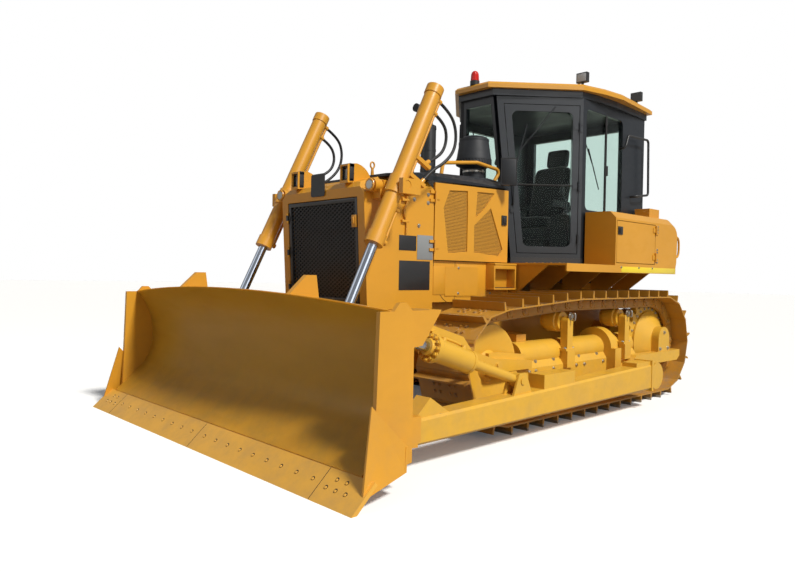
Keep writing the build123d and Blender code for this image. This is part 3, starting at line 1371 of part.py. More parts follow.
with BuildPart() as blade:
    with BuildSketch(Plane.YZ.offset(-BLADE_HALF + BLADE_END_PLATE)) as section:
        front_line = blade_face(0)
        back_line = blade_face(BLADE_PLATE)
        with BuildLine():
            Line(front_line[0], front_line[1])
            ThreePointArc(front_line[1], front_line[2], front_line[3])
            Line(front_line[3], back_line[3])
            ThreePointArc(back_line[3], back_line[2], back_line[1])
            Line(back_line[1], back_line[0])
            Line(back_line[0], front_line[0])
        make_face()
    extrude(section.sketch, amount=2 * (BLADE_HALF - BLADE_END_PLATE), dir=(1, 0, 0))
    with BuildSketch(Plane.XZ.offset(2500)) as crown:
        with BuildLine():
            ThreePointArc((-BLADE_HALF - 5, BLADE_END_TOP), (0, BLADE_END_TOP + BLADE_CROWN), (BLADE_HALF + 5, BLADE_END_TOP))
            Polyline((BLADE_HALF + 5, BLADE_END_TOP), (BLADE_HALF + 5, 1300), (-BLADE_HALF - 5, 1300),
                     (-BLADE_HALF - 5, BLADE_END_TOP))
        make_face()
    extrude(crown.sketch, amount=600, dir=(0, 1, 0), mode=Mode.SUBTRACT)
    for side in (-1, 1):
        x_outer = side * BLADE_HALF
        prism_x(
            (
                (-2335, BLADE_END_TOP),
                (-2360, 165),
                (EDGE_TOP[0] + 60, 130),
                (BLADE_REAR, 165),
                (BLADE_REAR, BLADE_END_TOP - 15),
                (BLADE_REAR - 60, BLADE_END_TOP + 45),
                (BLADE_REAR - 110, BLADE_END_TOP + 45),
                (BLADE_REAR - 150, BLADE_END_TOP),
            ),
            min(x_outer, x_outer - side * BLADE_END_PLATE),
            max(x_outer, x_outer - side * BLADE_END_PLATE),
        )
    prism_x(
        ((-2140, 400), (BLADE_SPINE, 400), (BLADE_SPINE, 255), (-2262, 255)),
        -BLADE_HALF + BLADE_END_PLATE,
        BLADE_HALF - BLADE_END_PLATE,
    )
    prism_x(
        ((-2180, 920), (-2040, 920), (-2010, 840), (-2085, 790)),
        -BLADE_HALF + BLADE_END_PLATE,
        BLADE_HALF - BLADE_END_PLATE,
    )
    for rib_x in (-1180, -350, 0, 350, 1180):
        prism_x(((-2090, 399), (BLADE_SPINE, 399), (-2010, 841), (-2090, 800)), rib_x - 10, rib_x + 10)
    for side in (-1, 1):
        for offset_x in (-CLEVIS_INNER - EAR_THICKNESS, CLEVIS_INNER):
            ear_x = side * LIFT_X + offset_x
            prism_x(
                (
                    (-2100, 399),
                    (BLADE_SPINE, 399),
                    (LIFT_PIN_Y + 60, LIFT_PIN_Z - 30),
                    (LIFT_PIN_Y + 60, LIFT_PIN_Z + 35),
                    (-2012, 845),
                    (-2100, 845),
                ),
                ear_x,
                ear_x + EAR_THICKNESS,
            )
            head_x = ear_x - 14 if offset_x < 0 else ear_x + EAR_THICKNESS - 1
            shaft((head_x, LIFT_PIN_Y, LIFT_PIN_Z), (1, 0, 0), PIN_RADIUS + 12, 15)
        fin_x = side * 728
        prism_x(
            ((-2330, 1000), (-2150, 1165), (-2075, 1165), (-2035, 900), (-2170, 900)),
            fin_x - 19,
            fin_x + 19,
        )
        for lug_x in (ARM_INNER - 28, ARM_OUTER + 6):
            prism_x(
                ((BLADE_SPINE - 30, 180), (-1850, 170), (-1850, 300), (BLADE_SPINE - 30, 399)),
                side * lug_x if side > 0 else -lug_x - 22,
                side * lug_x + 22 if side > 0 else -lug_x,
            )
        shaft((side * (ARM_INNER - 40), *ARM_PIN), (side, 0, 0), PIN_RADIUS + SEAT_GAP, 240, Mode.SUBTRACT)
        for x_low in CLEVIS_PLATES:
            prism_x(
                ((-2120, 760), (-2120, 920), (BRACE_FRONT[0] + 30, BRACE_FRONT[1] + 45), (BRACE_FRONT[0] + 55, BRACE_FRONT[1]),
                 (BRACE_FRONT[0] + 30, BRACE_FRONT[1] - 45)),
                side * x_low if side > 0 else -x_low - CLEVIS_PLATE,
                side * x_low + CLEVIS_PLATE if side > 0 else -x_low,
            )
        block(side * ARM_MIDDLE - BRACE_EYE_HALF - SEAT_GAP, side * ARM_MIDDLE + BRACE_EYE_HALF + SEAT_GAP,
              BRACE_FRONT[0] - BRACE_EYE - SEAT_GAP, BRACE_FRONT[0] + 200, 740, 960, Mode.SUBTRACT)
        shaft((side * (ARM_MIDDLE - 60), *BRACE_FRONT), (side, 0, 0), BRACE_PIN + SEAT_GAP, 120, Mode.SUBTRACT)
    prism_x(((-2090, 985), (-2090, 780), (-1990, 790), (-1840, 985)), 1440, BLADE_HALF - BLADE_END_PLATE + 1)
    prism_x(((-2090, 985), (-2090, 780), (-1990, 790), (-1840, 985)), -BLADE_HALF + BLADE_END_PLATE - 1, -1440)
save(blade, "blade")

# Cutting edge in two halves and the flared end bits
with BuildPart() as cutting_edge:
    tip_y = FRONT_TIP
    lean = math.atan2(EDGE_TOP[1], EDGE_TOP[0] - tip_y)
    back = (EDGE_THICKNESS * math.sin(lean), -EDGE_THICKNESS * math.cos(lean))
    section_points = (
        (tip_y, 0),
        (EDGE_TOP[0] - SEAT_GAP, EDGE_TOP[1]),
        (EDGE_TOP[0] + back[0] - SEAT_GAP, EDGE_TOP[1] + back[1]),
        (tip_y + EDGE_THICKNESS / math.sin(lean), 0),
    )
    prism_x(section_points, -EDGE_HALF, -1)
    prism_x(section_points, 1, EDGE_HALF)
    prism_x(section_points, EDGE_HALF + 2, TIP_HALF)
    prism_x(section_points, -TIP_HALF, -EDGE_HALF - 2)
save(cutting_edge, "cutting_edge")

# Push arms with the socket round the trunnion ball
SOCKET_RADIUS = 118.0
with BuildPart() as push_arm:
    prism_x(
        (
            (ARM_FRONT, ARM_FRONT_LOW),
            (ARM_FRONT, ARM_FRONT_HIGH),
            (ARM_REAR, ARM_REAR_HIGH),
            (ARM_REAR, ARM_REAR_LOW),
        ),
        ARM_INNER,
        ARM_OUTER,
    )
    chamfer(push_arm.edges().filter_by(lambda e: e.length > 2500), ARM_CHAMFER)
    for x_low in CLEVIS_PLATES:
        prism_x(
            ((-850, arm_top(-850) - 2), (BRACE_REAR[0] - 40, 500), (BRACE_REAR[0] + 40, 500), (-640, arm_top(-640) - 2)),
            x_low,
            x_low + CLEVIS_PLATE,
        )
    shaft((ARM_MIDDLE - 60, *BRACE_REAR), (1, 0, 0), BRACE_PIN + SEAT_GAP, 120, Mode.SUBTRACT)
    shaft((ARM_INNER, TRUNNION_Y, TRUNNION_Z), (1, 0, 0), SOCKET_RADIUS, ARM_OUTER - ARM_INNER)
    shaft((ARM_INNER - 28, *ARM_PIN), (1, 0, 0), PIN_RADIUS, ARM_OUTER - ARM_INNER + 56)
    with Locations((TRUNNION_X, TRUNNION_Y, TRUNNION_Z)):
        Sphere(BALL_RADIUS + SEAT_GAP, mode=Mode.SUBTRACT)
    shaft((ARM_INNER - 1, TRUNNION_Y, TRUNNION_Z), (1, 0, 0), STUB_RADIUS + 10, TRUNNION_X - ARM_INNER, Mode.SUBTRACT)
    block(ARM_INNER - 6, ARM_OUTER + 6, ARM_REAR - 22, ARM_REAR + 8, ARM_REAR_LOW - 14, ARM_REAR_HIGH + 34)
    block(ARM_INNER + 12, ARM_OUTER - 12, ARM_REAR - 280, ARM_REAR - 21, ARM_REAR_HIGH - 30, ARM_REAR_HIGH + 28)
    prism_x(
        ((-1700, arm_top(-1700) + 110), (-1530, arm_top(-1530) - 2), (-1830, arm_top(-1830) - 2)),
        ARM_INNER + 20,
        ARM_OUTER - 20,
    )
    block(ARM_INNER + 4, ARM_OUTER - 14, -505, -97, arm_top(-505) - 10, 466)
save(both_sides(push_arm), "push_arms")


def brace_ends(side):
    """Both eyes with their pins."""
    for y, z in (BRACE_REAR, BRACE_FRONT):
        shaft((side * ARM_MIDDLE - BRACE_EYE_HALF, y, z), (1, 0, 0), BRACE_EYE, 2 * BRACE_EYE_HALF)
        shaft((side * ARM_MIDDLE - BRACE_EYE_HALF - 24, y, z), (1, 0, 0), BRACE_PIN, 2 * BRACE_EYE_HALF + 48)


# Tilt cylinder on the left, plain brace on the right
brace_direction = (0, brace_way[0], brace_way[1])
BRACE_TUBE = 56.0
TILT_TUBE = 36.0
TILT_BARREL = 76.0
TILT_FLANGE = 92.0
COVER_X = ARM_INNER - 14
TILT_ROD = 32.0
BRACE_NECK = 120.0
with BuildPart() as tilt_cylinder:
    shaft(on_brace(1, 30), brace_direction, TILT_ROD, BRACE_NECK)
    shaft(on_brace(1, BRACE_NECK), brace_direction, TILT_TUBE, 450)
    shaft(on_brace(1, 569), brace_direction, TILT_BARREL, 380)
    shaft(on_brace(1, 948), brace_direction, TILT_ROD, brace_length - 948 - 30)
    shaft(on_brace(1, 920), brace_direction, TILT_FLANGE, 34)
    prism_x(
        (
            (-1690, 884),
            (-1590, 872),
            (-1250, 772),
            (-1160, 675),
            (-828, 572),
            (-828, 505),
            (-1150, 610),
            (-1240, 700),
            (-1560, 795),
        ),
        COVER_X,
        COVER_X + 20,
    )
    block(COVER_X + 19, ARM_MIDDLE - 40, -1590, -1530, 740, 830)
    brace_ends(1)
save(tilt_cylinder, "tilt_cylinder")

with BuildPart() as tilt_brace:
    shaft(on_brace(-1, 30), brace_direction, TILT_ROD, brace_length - 60)
    shaft(on_brace(-1, BRACE_NECK), brace_direction, BRACE_TUBE, brace_length - 2 * BRACE_NECK)
    brace_ends(-1)
save(tilt_brace, "tilt_brace")

# Lift cylinders
lift_way = (LIFT_PIN_Y - LIFT_PIVOT_Y, LIFT_PIN_Z - LIFT_PIVOT_Z)
lift_length = math.hypot(*lift_way)
lift_down = (0, lift_way[0] / lift_length, lift_way[1] / lift_length)


def on_lift(distance, behind=0.0):
    """A point below the trunnion along the lift cylinder, and a distance behind its axis."""
    return (
        LIFT_X,
        LIFT_PIVOT_Y + lift_down[1] * distance - lift_down[2] * behind,
        LIFT_PIVOT_Z + lift_down[2] * distance + lift_down[1] * behind,
    )


TRUNNION_PIN = 32.0
TRUNNION_REACH = 116.0
PIPE_RADIUS = 11.0
PIPE_OFF = BARREL_RADIUS + 22
PIPE_RUNS = ((-800.0, -150.0), (150.0, 415.0))
PORT_STAND = 14.0
PORT_RADIUS = 20.0
PORT_LONG = 44.0
HEAD_PORT = PIPE_OFF + PORT_STAND + SEAT_GAP
HOLDER_HALF = 20.0
HOLDER_THICK = 30.0
FITTING_RADIUS = 17.0
FITTING_LONG = 46.0
HOSE_ROUTES = (
    # name, and its points: distance up the barrel, behind its axis, outward
    (
        "rear_hose",
        (
            (800, HEAD_PORT, 0),
            (800, 238, 0),
            (715, 345, 4),
            (575, 392, 10),
            (425, 345, 8),
            (300, 255, 2),
            (190, 215, 0),
        ),
    ),
    (
        "front_hose",
        (
            (690, HEAD_PORT, 0),
            (690, 205, 0),
            (618, 285, -6),
            (515, 305, -10),
            (420, 262, -6),
            (340, 200, 0),
        ),
    ),
)


def hose_line(places):
    """The points of a hose's route in the machine's frame."""
    line = []
    for up, behind, outward in places:
        x, y, z = on_lift(-up, behind)
        line.append((x + outward, y, z))
    return line


def hose_holder(places):
    """The plate behind the barrel that a hose ends on, with its fitting."""
    top = places[-1][0] - FITTING_LONG + 16
    near = BARREL_RADIUS - 6
    far = places[-1][1] + 22
    corners = ((top, near), (top, far), (top - HOLDER_THICK, far), (top - HOLDER_THICK, near))
    prism_x([on_lift(-up, behind)[1:] for up, behind in corners], LIFT_X - HOLDER_HALF, LIFT_X + HOLDER_HALF)
    last, end = (Vector(*point) for point in hose_line(places)[-2:])
    along = (end - last).normalized()
    shaft(tuple(end + along * SEAT_GAP), along, FITTING_RADIUS, FITTING_LONG)


with BuildPart() as left_lift_barrel:
    shaft(on_lift(-BARREL_BACK), lift_down, BARREL_RADIUS, BARREL_BACK + GLAND_REACH)
    shaft(on_lift(-70), lift_down, BARREL_RADIUS + 10, 140)
    shaft(on_lift(-BARREL_BACK), lift_down, BARREL_RADIUS + 6, 70)
    shaft(on_lift(GLAND_REACH - 86), lift_down, BARREL_RADIUS + 7, 86)
    for start, end in PIPE_RUNS:
        shaft(on_lift(start, PIPE_OFF), lift_down, PIPE_RADIUS, end - start)
        for place in (start, end):
            shaft(on_lift(place, PIPE_OFF + PORT_STAND), (0, lift_down[2], -lift_down[1]), PORT_RADIUS, PORT_LONG)
    for name, places in HOSE_ROUTES:
        shaft(on_lift(-places[0][0], PIPE_OFF + PORT_STAND), (0, lift_down[2], -lift_down[1]), PORT_RADIUS, PORT_LONG)
        hose_holder(places)
    shaft((LIFT_X - TRUNNION_REACH, LIFT_PIVOT_Y, LIFT_PIVOT_Z), (1, 0, 0), TRUNNION_PIN, 2 * TRUNNION_REACH)
    shaft(on_lift(-BARREL_BACK + 30), lift_down, BARREL_BORE, BARREL_BACK + GLAND_REACH - 60, Mode.SUBTRACT)
    shaft(on_lift(GLAND_REACH - 40), lift_down, ROD_RADIUS + ROD_RUNNING, 60, Mode.SUBTRACT)
save(left_lift_barrel, "left_lift_barrel")
save(mirrored(left_lift_barrel), "right_lift_barrel")

ROD_LENGTH = 1400.0
with BuildPart() as left_lift_rod:
    shaft(on_lift(lift_length - ROD_LENGTH), lift_down, ROD_RADIUS, ROD_LENGTH - 20)
    shaft((LIFT_X - EYE_WIDTH / 2, LIFT_PIN_Y, LIFT_PIN_Z), (1, 0, 0), EYE_RADIUS, EYE_WIDTH)
save(left_lift_rod, "left_lift_rod")
save(mirrored(left_lift_rod), "right_lift_rod")

# Yokes that carry the lift cylinders: a pivot housing along the guard's side and a fork round the barrel
YOKE_PIVOT_X = 567.0
YOKE_RADIUS = 48.0
YOKE_BRIDGE = 97.0
with BuildPart() as yoke:
    shaft((YOKE_PIVOT_X, LIFT_PIVOT_Y - 118, LIFT_PIVOT_Z + 8), (0, 1, 0), YOKE_RADIUS, 240)
    shaft((YOKE_PIVOT_X, LIFT_PIVOT_Y - 134, LIFT_PIVOT_Z + 8), (0, 1, 0), YOKE_RADIUS - 20, 17)
    block(GUARD_HALF + SEAT_GAP, YOKE_PIVOT_X + 40, LIFT_PIVOT_Y - 70, LIFT_PIVOT_Y + 110,
          LIFT_PIVOT_Z - 84, LIFT_PIVOT_Z - 6)
    for x_low, x_high in ((YOKE_PIVOT_X, LIFT_X - BARREL_RADIUS - 18), (LIFT_X + BARREL_RADIUS + 18, LIFT_X + TRUNNION_REACH + 4)):
        block(x_low, x_high, LIFT_PIVOT_Y - 50, LIFT_PIVOT_Y + YOKE_BRIDGE + 30, LIFT_PIVOT_Z - 62, LIFT_PIVOT_Z + 46)
    block(YOKE_PIVOT_X, LIFT_X + TRUNNION_REACH + 4, LIFT_PIVOT_Y + YOKE_BRIDGE, LIFT_PIVOT_Y + YOKE_BRIDGE + 30,
          LIFT_PIVOT_Z - 62, LIFT_PIVOT_Z - 4)
    shaft((LIFT_X - TRUNNION_REACH - 1, LIFT_PIVOT_Y, LIFT_PIVOT_Z), (1, 0, 0), TRUNNION_PIN + ROD_RUNNING,
          2 * TRUNNION_REACH + 10, Mode.SUBTRACT)
save(both_sides(yoke), "cylinder_yokes")

# Hood lights under their cowls
LIGHT_X = 314.0
LIGHT_HALF = 46.0
LIGHT_FRONT = GUARD_FRONT_TOP - 20
with BuildPart() as work_light:
    with BuildSketch(Plane.YZ.offset(LIGHT_X - LIGHT_HALF)) as cowl:
        with BuildLine():
            Polyline(
                (LIGHT_FRONT, 1984),
                (LIGHT_FRONT, GUARD_TOP - 6),
                (GUARD_FRONT_TOP + 28, GUARD_TOP + SEAT_GAP),
                (NOSE_ROOF_BACK - SEAT_GAP, GUARD_TOP + 53 + SEAT_GAP),
            )
            ThreePointArc((NOSE_ROOF_BACK - SEAT_GAP, GUARD_TOP + 53 + SEAT_GAP), (NOSE_ROOF_BACK - 55, 1968), (LIGHT_FRONT + 80, 1996))
            Line((LIGHT_FRONT + 80, 1996), (LIGHT_FRONT, 1984))
        make_face()
    extrude(cowl.sketch, amount=2 * LIGHT_HALF, dir=(1, 0, 0))
    block(LIGHT_X - LIGHT_HALF + 10, LIGHT_X + LIGHT_HALF - 10, LIGHT_FRONT - 1, LIGHT_FRONT + 70, GUARD_TOP + 14,
          1972, Mode.SUBTRACT)
save(both_sides(work_light), "hood_lights")


def hood_height(y):
    """Height of the hood's flat crest."""
    for (y0, z0), (y1, z1) in zip(HOOD_LINE, HOOD_LINE[1:]):
        if y0 <= y <= y1:
            return z0 + (z1 - z0) * (y - y0) / (y1 - y0)
    raise ValueError("off the hood")


# Handrail along the hood's left edge
RAIL_X = 400.0
RAIL_RADIUS = 16.0
with BuildPart() as hood_handrail:
    tube(
        (
            (RAIL_X, -560, hood_height(-560) - 8),
            (RAIL_X, -540, 2112),
            (RAIL_X, -100, 2168),
            (RAIL_X, 228, 2138),
            (RAIL_X - 20, 150, hood_height(150) - 8),
        ),
        38,
        RAIL_RADIUS,
    )
    prism_x(
        (
            (GUARD_REAR, HOOD_LOW_FRONT),
            *((y, z + SEAT_GAP) for y, z in HOOD_LINE),
            (HOOD_REAR, HOOD_LOW_REAR),
        ),
        RAIL_X - 100,
        RAIL_X + 100,
        Mode.SUBTRACT,
    )
save(hood_handrail, "hood_handrail")


def flank_x(y):
    """Outer face of the cab's flank at a place along the machine."""
    return CAB_PILLAR[0] + (CAB_REAR[0] - CAB_PILLAR[0]) * (y - CAB_PILLAR[1]) / (CAB_REAR[1] - CAB_PILLAR[1])


# Black trim on the cab: rear grab handles and the mirrors on their arms
TRIM_TUBE = 12.0
GRAB_X = 835.0
MIRROR = (610.0, 80.0, 2090.0)
MIRROR_ARM = 10.0
with BuildPart() as cab_trim:
    tube(
        (
            (flank_x(1700) + SEAT_GAP, 1700, 2500),
            (GRAB_X, 1700, 2500),
            (GRAB_X, 1765, 2635),
            (GRAB_X, 2195, 2650),
            (GRAB_X, 2215, 2070),
            (GRAB_X, 1960, 2035),
            (flank_x(1960) + SEAT_GAP, 1960, 2035),
        ),
        36,
        TRIM_TUBE,
    )
    foot_low, foot_high = 2040, 2130
    near_front = slant_front(foot_low)
    wall_sheet(
        slant,
        ((near_front - 56, foot_low), (near_front - 12, foot_low), (near_front - 12, foot_high), (near_front - 56, foot_high)),
        -SEAT_GAP - 14,
        14,
    )
    foot = slant.origin + slant.x_dir * (near_front - 34) - slant.z_dir * 12
    tube(
        (
            (foot.X, foot.Y, 2085),
            (foot.X + 60, foot.Y - 90, 2088),
            (MIRROR[0], MIRROR[1], MIRROR[2]),
        ),
        30,
        MIRROR_ARM,
    )
    with Locations(Plane(origin=MIRROR, x_dir=(0.8, 0.6, 0), z_dir=(-0.6, 0.8, 0))):
        Box(140, 236, 46)
save(both_sides(cab_trim), "cab_trim")

# Beacon at the roof's front and its base
BEACON_Y = 318.0
BEACON_RADIUS = 41.0
with BuildPart() as beacon_base:
    shaft((0, BEACON_Y, ROOF_HIGH + SEAT_GAP), (0, 0, 1), BEACON_RADIUS + 4, 42)
save(beacon_base, "beacon_base")
BEACON_FOOT = ROOF_HIGH + 2 * SEAT_GAP + 42
with BuildPart() as beacon:
    with BuildSketch(Plane.XZ.offset(-BEACON_Y)) as dome:
        with BuildLine():
            Polyline(
                (0, BEACON_FOOT),
                (BEACON_RADIUS, BEACON_FOOT),
                (BEACON_RADIUS - 4, BEACON_FOOT + 62),
                (BEACON_RADIUS - 10, BEACON_FOOT + 80),
                (BEACON_RADIUS - 22, BEACON_FOOT + 93),
                (0, BEACON_FOOT + 98),
                close=True,
            )
        make_face()
    revolve(dome.sketch, axis=Axis((0, BEACON_Y, 0), (0, 0, 1)))
save(beacon, "beacon")

# Roof lamps: two to the front, two to the rear, on short stalks
LAMP_PLACES = (
    # x, y, facing along y
    (790.0, 1010.0, -1),
    (835.0, 1990.0, 1),
)
LAMP_HALF = 56.0
LAMP_DEPTH = 46.0
with BuildPart() as roof_lamp_pair:
    for lamp_x, lamp_y, facing in LAMP_PLACES:
        shaft((lamp_x - 40, lamp_y, ROOF_HIGH + SEAT_GAP), (0, 0, 1), 12, 34)
        block(lamp_x - 40 - LAMP_HALF, lamp_x - 40 + LAMP_HALF, lamp_y - LAMP_DEPTH / 2, lamp_y + LAMP_DEPTH / 2,
              ROOF_HIGH + 30, ROOF_HIGH + 122)
        lens_y = lamp_y + facing * LAMP_DEPTH / 2
        block(lamp_x - 40 - LAMP_HALF + 7, lamp_x - 40 + LAMP_HALF - 7, lens_y - 4, lens_y + 4,
              ROOF_HIGH + 37, ROOF_HIGH + 115, Mode.SUBTRACT)
save(both_sides(roof_lamp_pair), "roof_lamps")

# Hoses of the lift cylinders, from the ports at the barrel's head to the holders behind it
HOSE_RADIUS = 12.0


def bend_radii(points):
    """The largest easy bend at each corner of a hose's route."""
    radii = []
    for before, corner, after in zip(points, points[1:], points[2:]):
        run_in = Vector(*corner) - Vector(*before)
        run_out = Vector(*after) - Vector(*corner)
        turn = math.radians(run_in.get_angle(run_out))
        radii.append(0.45 * min(run_in.length, run_out.length) / math.tan(turn / 2))
    return radii


for hose_name, places in HOSE_ROUTES:
    route = hose_line(places)
    radii = bend_radii(route)
    print(hose_name, "bends", [round(r) for r in radii], "points", [tuple(round(v, 1) for v in point) for point in route])
    with BuildPart() as hose:
        tube(route, radii, HOSE_RADIUS)
    save(hose, "left_" + hose_name)
    save(mirrored(hose), "right_" + hose_name)
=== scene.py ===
import json
import math

import bmesh
import bpy
from bpy.props import FloatProperty, FloatVectorProperty, IntProperty, PointerProperty
from mathutils import Matrix, Vector


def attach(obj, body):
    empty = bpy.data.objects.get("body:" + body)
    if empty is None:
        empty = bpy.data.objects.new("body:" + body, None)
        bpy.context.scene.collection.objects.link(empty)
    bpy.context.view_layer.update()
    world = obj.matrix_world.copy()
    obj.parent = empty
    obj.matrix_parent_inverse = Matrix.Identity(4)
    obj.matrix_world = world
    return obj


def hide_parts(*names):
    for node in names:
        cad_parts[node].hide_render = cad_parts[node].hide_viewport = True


bl_info = {
    "name": "Crawler bulldozer looks",
    "version": (1, 0, 0),
    "blender": (4, 5, 0),
    "location": "3D View > Sidebar > Dozer",
    "description": "Paint, fittings and stage round the packed bulldozer",
    "category": "Object",
}

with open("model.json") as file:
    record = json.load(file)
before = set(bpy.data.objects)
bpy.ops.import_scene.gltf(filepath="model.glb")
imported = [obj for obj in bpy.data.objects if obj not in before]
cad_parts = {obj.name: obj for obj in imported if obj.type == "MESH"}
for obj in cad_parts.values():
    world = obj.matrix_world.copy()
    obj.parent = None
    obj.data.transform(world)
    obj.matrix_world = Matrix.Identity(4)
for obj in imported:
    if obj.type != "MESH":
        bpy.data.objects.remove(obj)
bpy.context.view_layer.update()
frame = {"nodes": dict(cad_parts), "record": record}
SIDES = (("left", 1), ("right", -1))

# Places shared with the solid model, in metres
GUARD_SIDE = 0.518
GRILLE_HALF, GRILLE_LOW, GRILLE_HIGH, GRILLE_RIM = 0.435, 0.960, 1.735, 0.030
GUARD_FRONT_LOW, GUARD_FRONT_TOP = -1.436, -1.500
GUARD_LOW, GUARD_TOP, GUARD_CAP = 0.760, 1.852, 0.040
DOOR_X, VENT_DEPTH = 0.524, 0.012
VENT_FIELDS = (
    ((-0.592, 1.358), (-0.355, 1.378), (-0.355, 1.750), (-0.362, 1.885), (-0.585, 1.868), (-0.655, 1.724)),
    ((-0.253, 1.668), (-0.129, 1.759), (-0.004, 1.898), (-0.235, 1.890)),
    ((-0.268, 1.376), (0.071, 1.354), (0.124, 1.415), (-0.050, 1.765), (-0.270, 1.602)),
)
CAB_FLOOR, CAB_HEAD = 1.360, 2.880
CAB_FRONT_TOP, CAB_FRONT_LOW = (0.221, 0.376), (0.330, 0.500)
CAB_PILLAR, CAB_REAR = (0.770, 1.005), (0.765, 2.240)
EDGE_TIP, EDGE_TOP, EDGE_HALF = (-2.570, 0.0), (-2.416, 0.142), 1.368
FACE_KNEE, FACE_DEEPEST, FACE_CREST, FACE_HALF = (-2.160, 0.375), (-2.095, 0.640), (-2.385, 1.090), 1.612
BRACE_REAR, BRACE_WAY = (1.350, -0.747, 0.445), (0, -0.9531, 0.3026)
COVER_FACE = 1.276
EXHAUST, PRECLEANER, STACK_SEAT = (0.120, -0.430), (0.200, 0.090), 2.0423
PANEL_SKIN, FENDER_SKIN = 0.5062, 1.110
WINDOW_LOW, WINDOW_HIGH = 1.832, 2.788

# The lift hoses run on the left cylinder, from a port to a holder behind the barrel
LIFT_PIVOT, LIFT_EYE = Vector((0.700, -1.349, 1.810)), Vector((0.700, -1.940, 0.617))
HOSE_PORT, FRONT_HOSE_LONG, REAR_HOSE_LONG = 0.0983, 0.514, 0.838
HOSES = (
    # name, length, and points as distance up the barrel, behind its axis, and outward
    ("front_hose", FRONT_HOSE_LONG, (
        (0.690, HOSE_PORT, 0), (0.690, 0.205, 0), (0.618, 0.285, -0.006), (0.515, 0.305, -0.010),
        (0.420, 0.262, -0.006), (0.340, 0.200, 0))),
    ("rear_hose", REAR_HOSE_LONG, (
        (0.800, HOSE_PORT, 0), (0.800, 0.238, 0), (0.715, 0.345, 0.004), (0.575, 0.392, 0.010),
        (0.425, 0.345, 0.008), (0.300, 0.255, 0.002), (0.190, 0.215, 0))),
)

# The chain: its shoes and links, and the wheels that its pins run round
CHAIN_X, SHOE_COUNT, PITCH, PIN_HEIGHT = 0.940, 38, 0.2032, 0.125
LINK_FACE, LINK_RAIL, SHOE_OUT, SHOE_HALF = 0.088, 0.050, 0.062, 0.255
SPROCKET_TEETH = 25
PIN_CIRCLE = PITCH / (2 * math.sin(math.tau / SPROCKET_TEETH))
SPROCKET = (1.984, PIN_HEIGHT + PIN_CIRCLE)
IDLER_TREAD, SEAT_GAP = 0.311, 0.0003
IDLER_PIN_CIRCLE = math.hypot(IDLER_TREAD + SEAT_GAP + LINK_RAIL, PITCH / 2)
IDLER_Z = PIN_HEIGHT + IDLER_PIN_CIRCLE
TOP_RUN, TOP_RUN_END = SPROCKET[1] + PIN_CIRCLE, 0.325

# Colours of worn places, of the top run's darker upward faces, of holes painted as shade, of fins and cloth,
# and gains that tint a shared colour; the blade face's gain is painted light
HOLE_SHADE = (0.012, 0.011, 0.010, 1.0)
TOP_RUN_DARK, CHIPPED_STEEL = (0.085, 0.034, 0.009, 1.0), (0.22, 0.17, 0.12, 1.0)
RUBBED_STEEL = (0.62, 0.58, 0.50, 1.0)
# The blade-face gain makes the blade enamel lighter and more olive: painted light on the shaded blade face.
GEAR_TINT, FACE_LIGHT_GAIN, HOOD_TINT = (1.04, 1.24, 1.3), (1.4, 1.68, 1.8), (0.9, 0.9, 0.9)
CORE_SHADE, CORE_LIGHT = (0.002, 0.002, 0.003, 1.0), (0.012, 0.013, 0.015, 1.0)
CLOTH_SHADE, CLOTH_LIGHT = (0.006, 0.007, 0.008, 1.0), (0.013, 0.014, 0.017, 1.0)

X_WAY, Y_WAY, UP = (1, 0, 0), (0, 1, 0), (0, 0, 1)
FORWARD = (0, -1, 0)


class DozerPaint(bpy.types.PropertyGroup):
    """Colours of the finishes."""

    yellow: FloatVectorProperty(name="Body yellow", description="Enamel on the body", subtype="COLOR",
                                size=3, min=0, max=1, default=(0.70, 0.330, 0.026))
    edge_yellow: FloatVectorProperty(name="Edge yellow", description="Paint on the cutting edge",
                                     subtype="COLOR", size=3, min=0, max=1, default=(0.80, 0.42, 0.050))
    slate: FloatVectorProperty(name="Slate", description="Hood and cab paint", subtype="COLOR",
                               size=3, min=0, max=1, default=(0.013, 0.017, 0.023))
    tint: FloatVectorProperty(name="Glass tint", description="Window tint", subtype="COLOR",
                              size=3, min=0, max=1, default=(0.72, 0.83, 0.79))
    dust: FloatVectorProperty(name="Dust", description="Dry soil on the running gear", subtype="COLOR",
                              size=3, min=0, max=1, default=(0.33, 0.22, 0.12))
    wear: FloatProperty(name="Edge wear", description="How much paint is gone along edges", subtype="FACTOR",
                        min=0, max=1, default=0.5)


class DozerSizes(bpy.types.PropertyGroup):
    """Sizes of the fittings."""

    mesh_wide: FloatProperty(name="Mesh width", description="Width of one grille diamond", unit="LENGTH",
                             min=0.02, max=0.2, default=0.052)
    mesh_tall: FloatProperty(name="Mesh height", description="Height of one grille diamond", unit="LENGTH",
                             min=0.02, max=0.2, default=0.032)
    edge_bolts: IntProperty(name="Edge bolts", description="Bolts along one half of the cutting edge",
                            min=2, max=20, default=9)
    hose: FloatProperty(name="Hose radius", description="Radius of the lift hoses", unit="LENGTH",
                        min=0.004, max=0.03, default=0.012)
    sun: FloatProperty(name="Key light", description="Strength of the key light", min=0, max=20, default=3.5)
    fill: FloatProperty(name="Fill light", description="Strength of the surrounding light", min=0, max=2,
                        default=0.13)


def set_socket(tree, socket, value):
    """Link a socket to another or give it a value."""
    if isinstance(value, bpy.types.NodeSocket):
        tree.links.new(value, socket)
    else:
        socket.default_value = value


def put(tree, kind, inputs=None, **settings):
    """Add a shader node, set it and link or fill its inputs."""
    node = tree.nodes.new(kind)
    for key, value in settings.items():
        setattr(node, key, value)
    for key, value in (inputs or {}).items():
        set_socket(tree, node.inputs[key], value)
    return node


def calc(tree, operation, first, second=0.5, clamp=False):
    """A math node's result."""
    return put(tree, "ShaderNodeMath", {0: first, 1: second}, operation=operation, use_clamp=clamp).outputs[0]


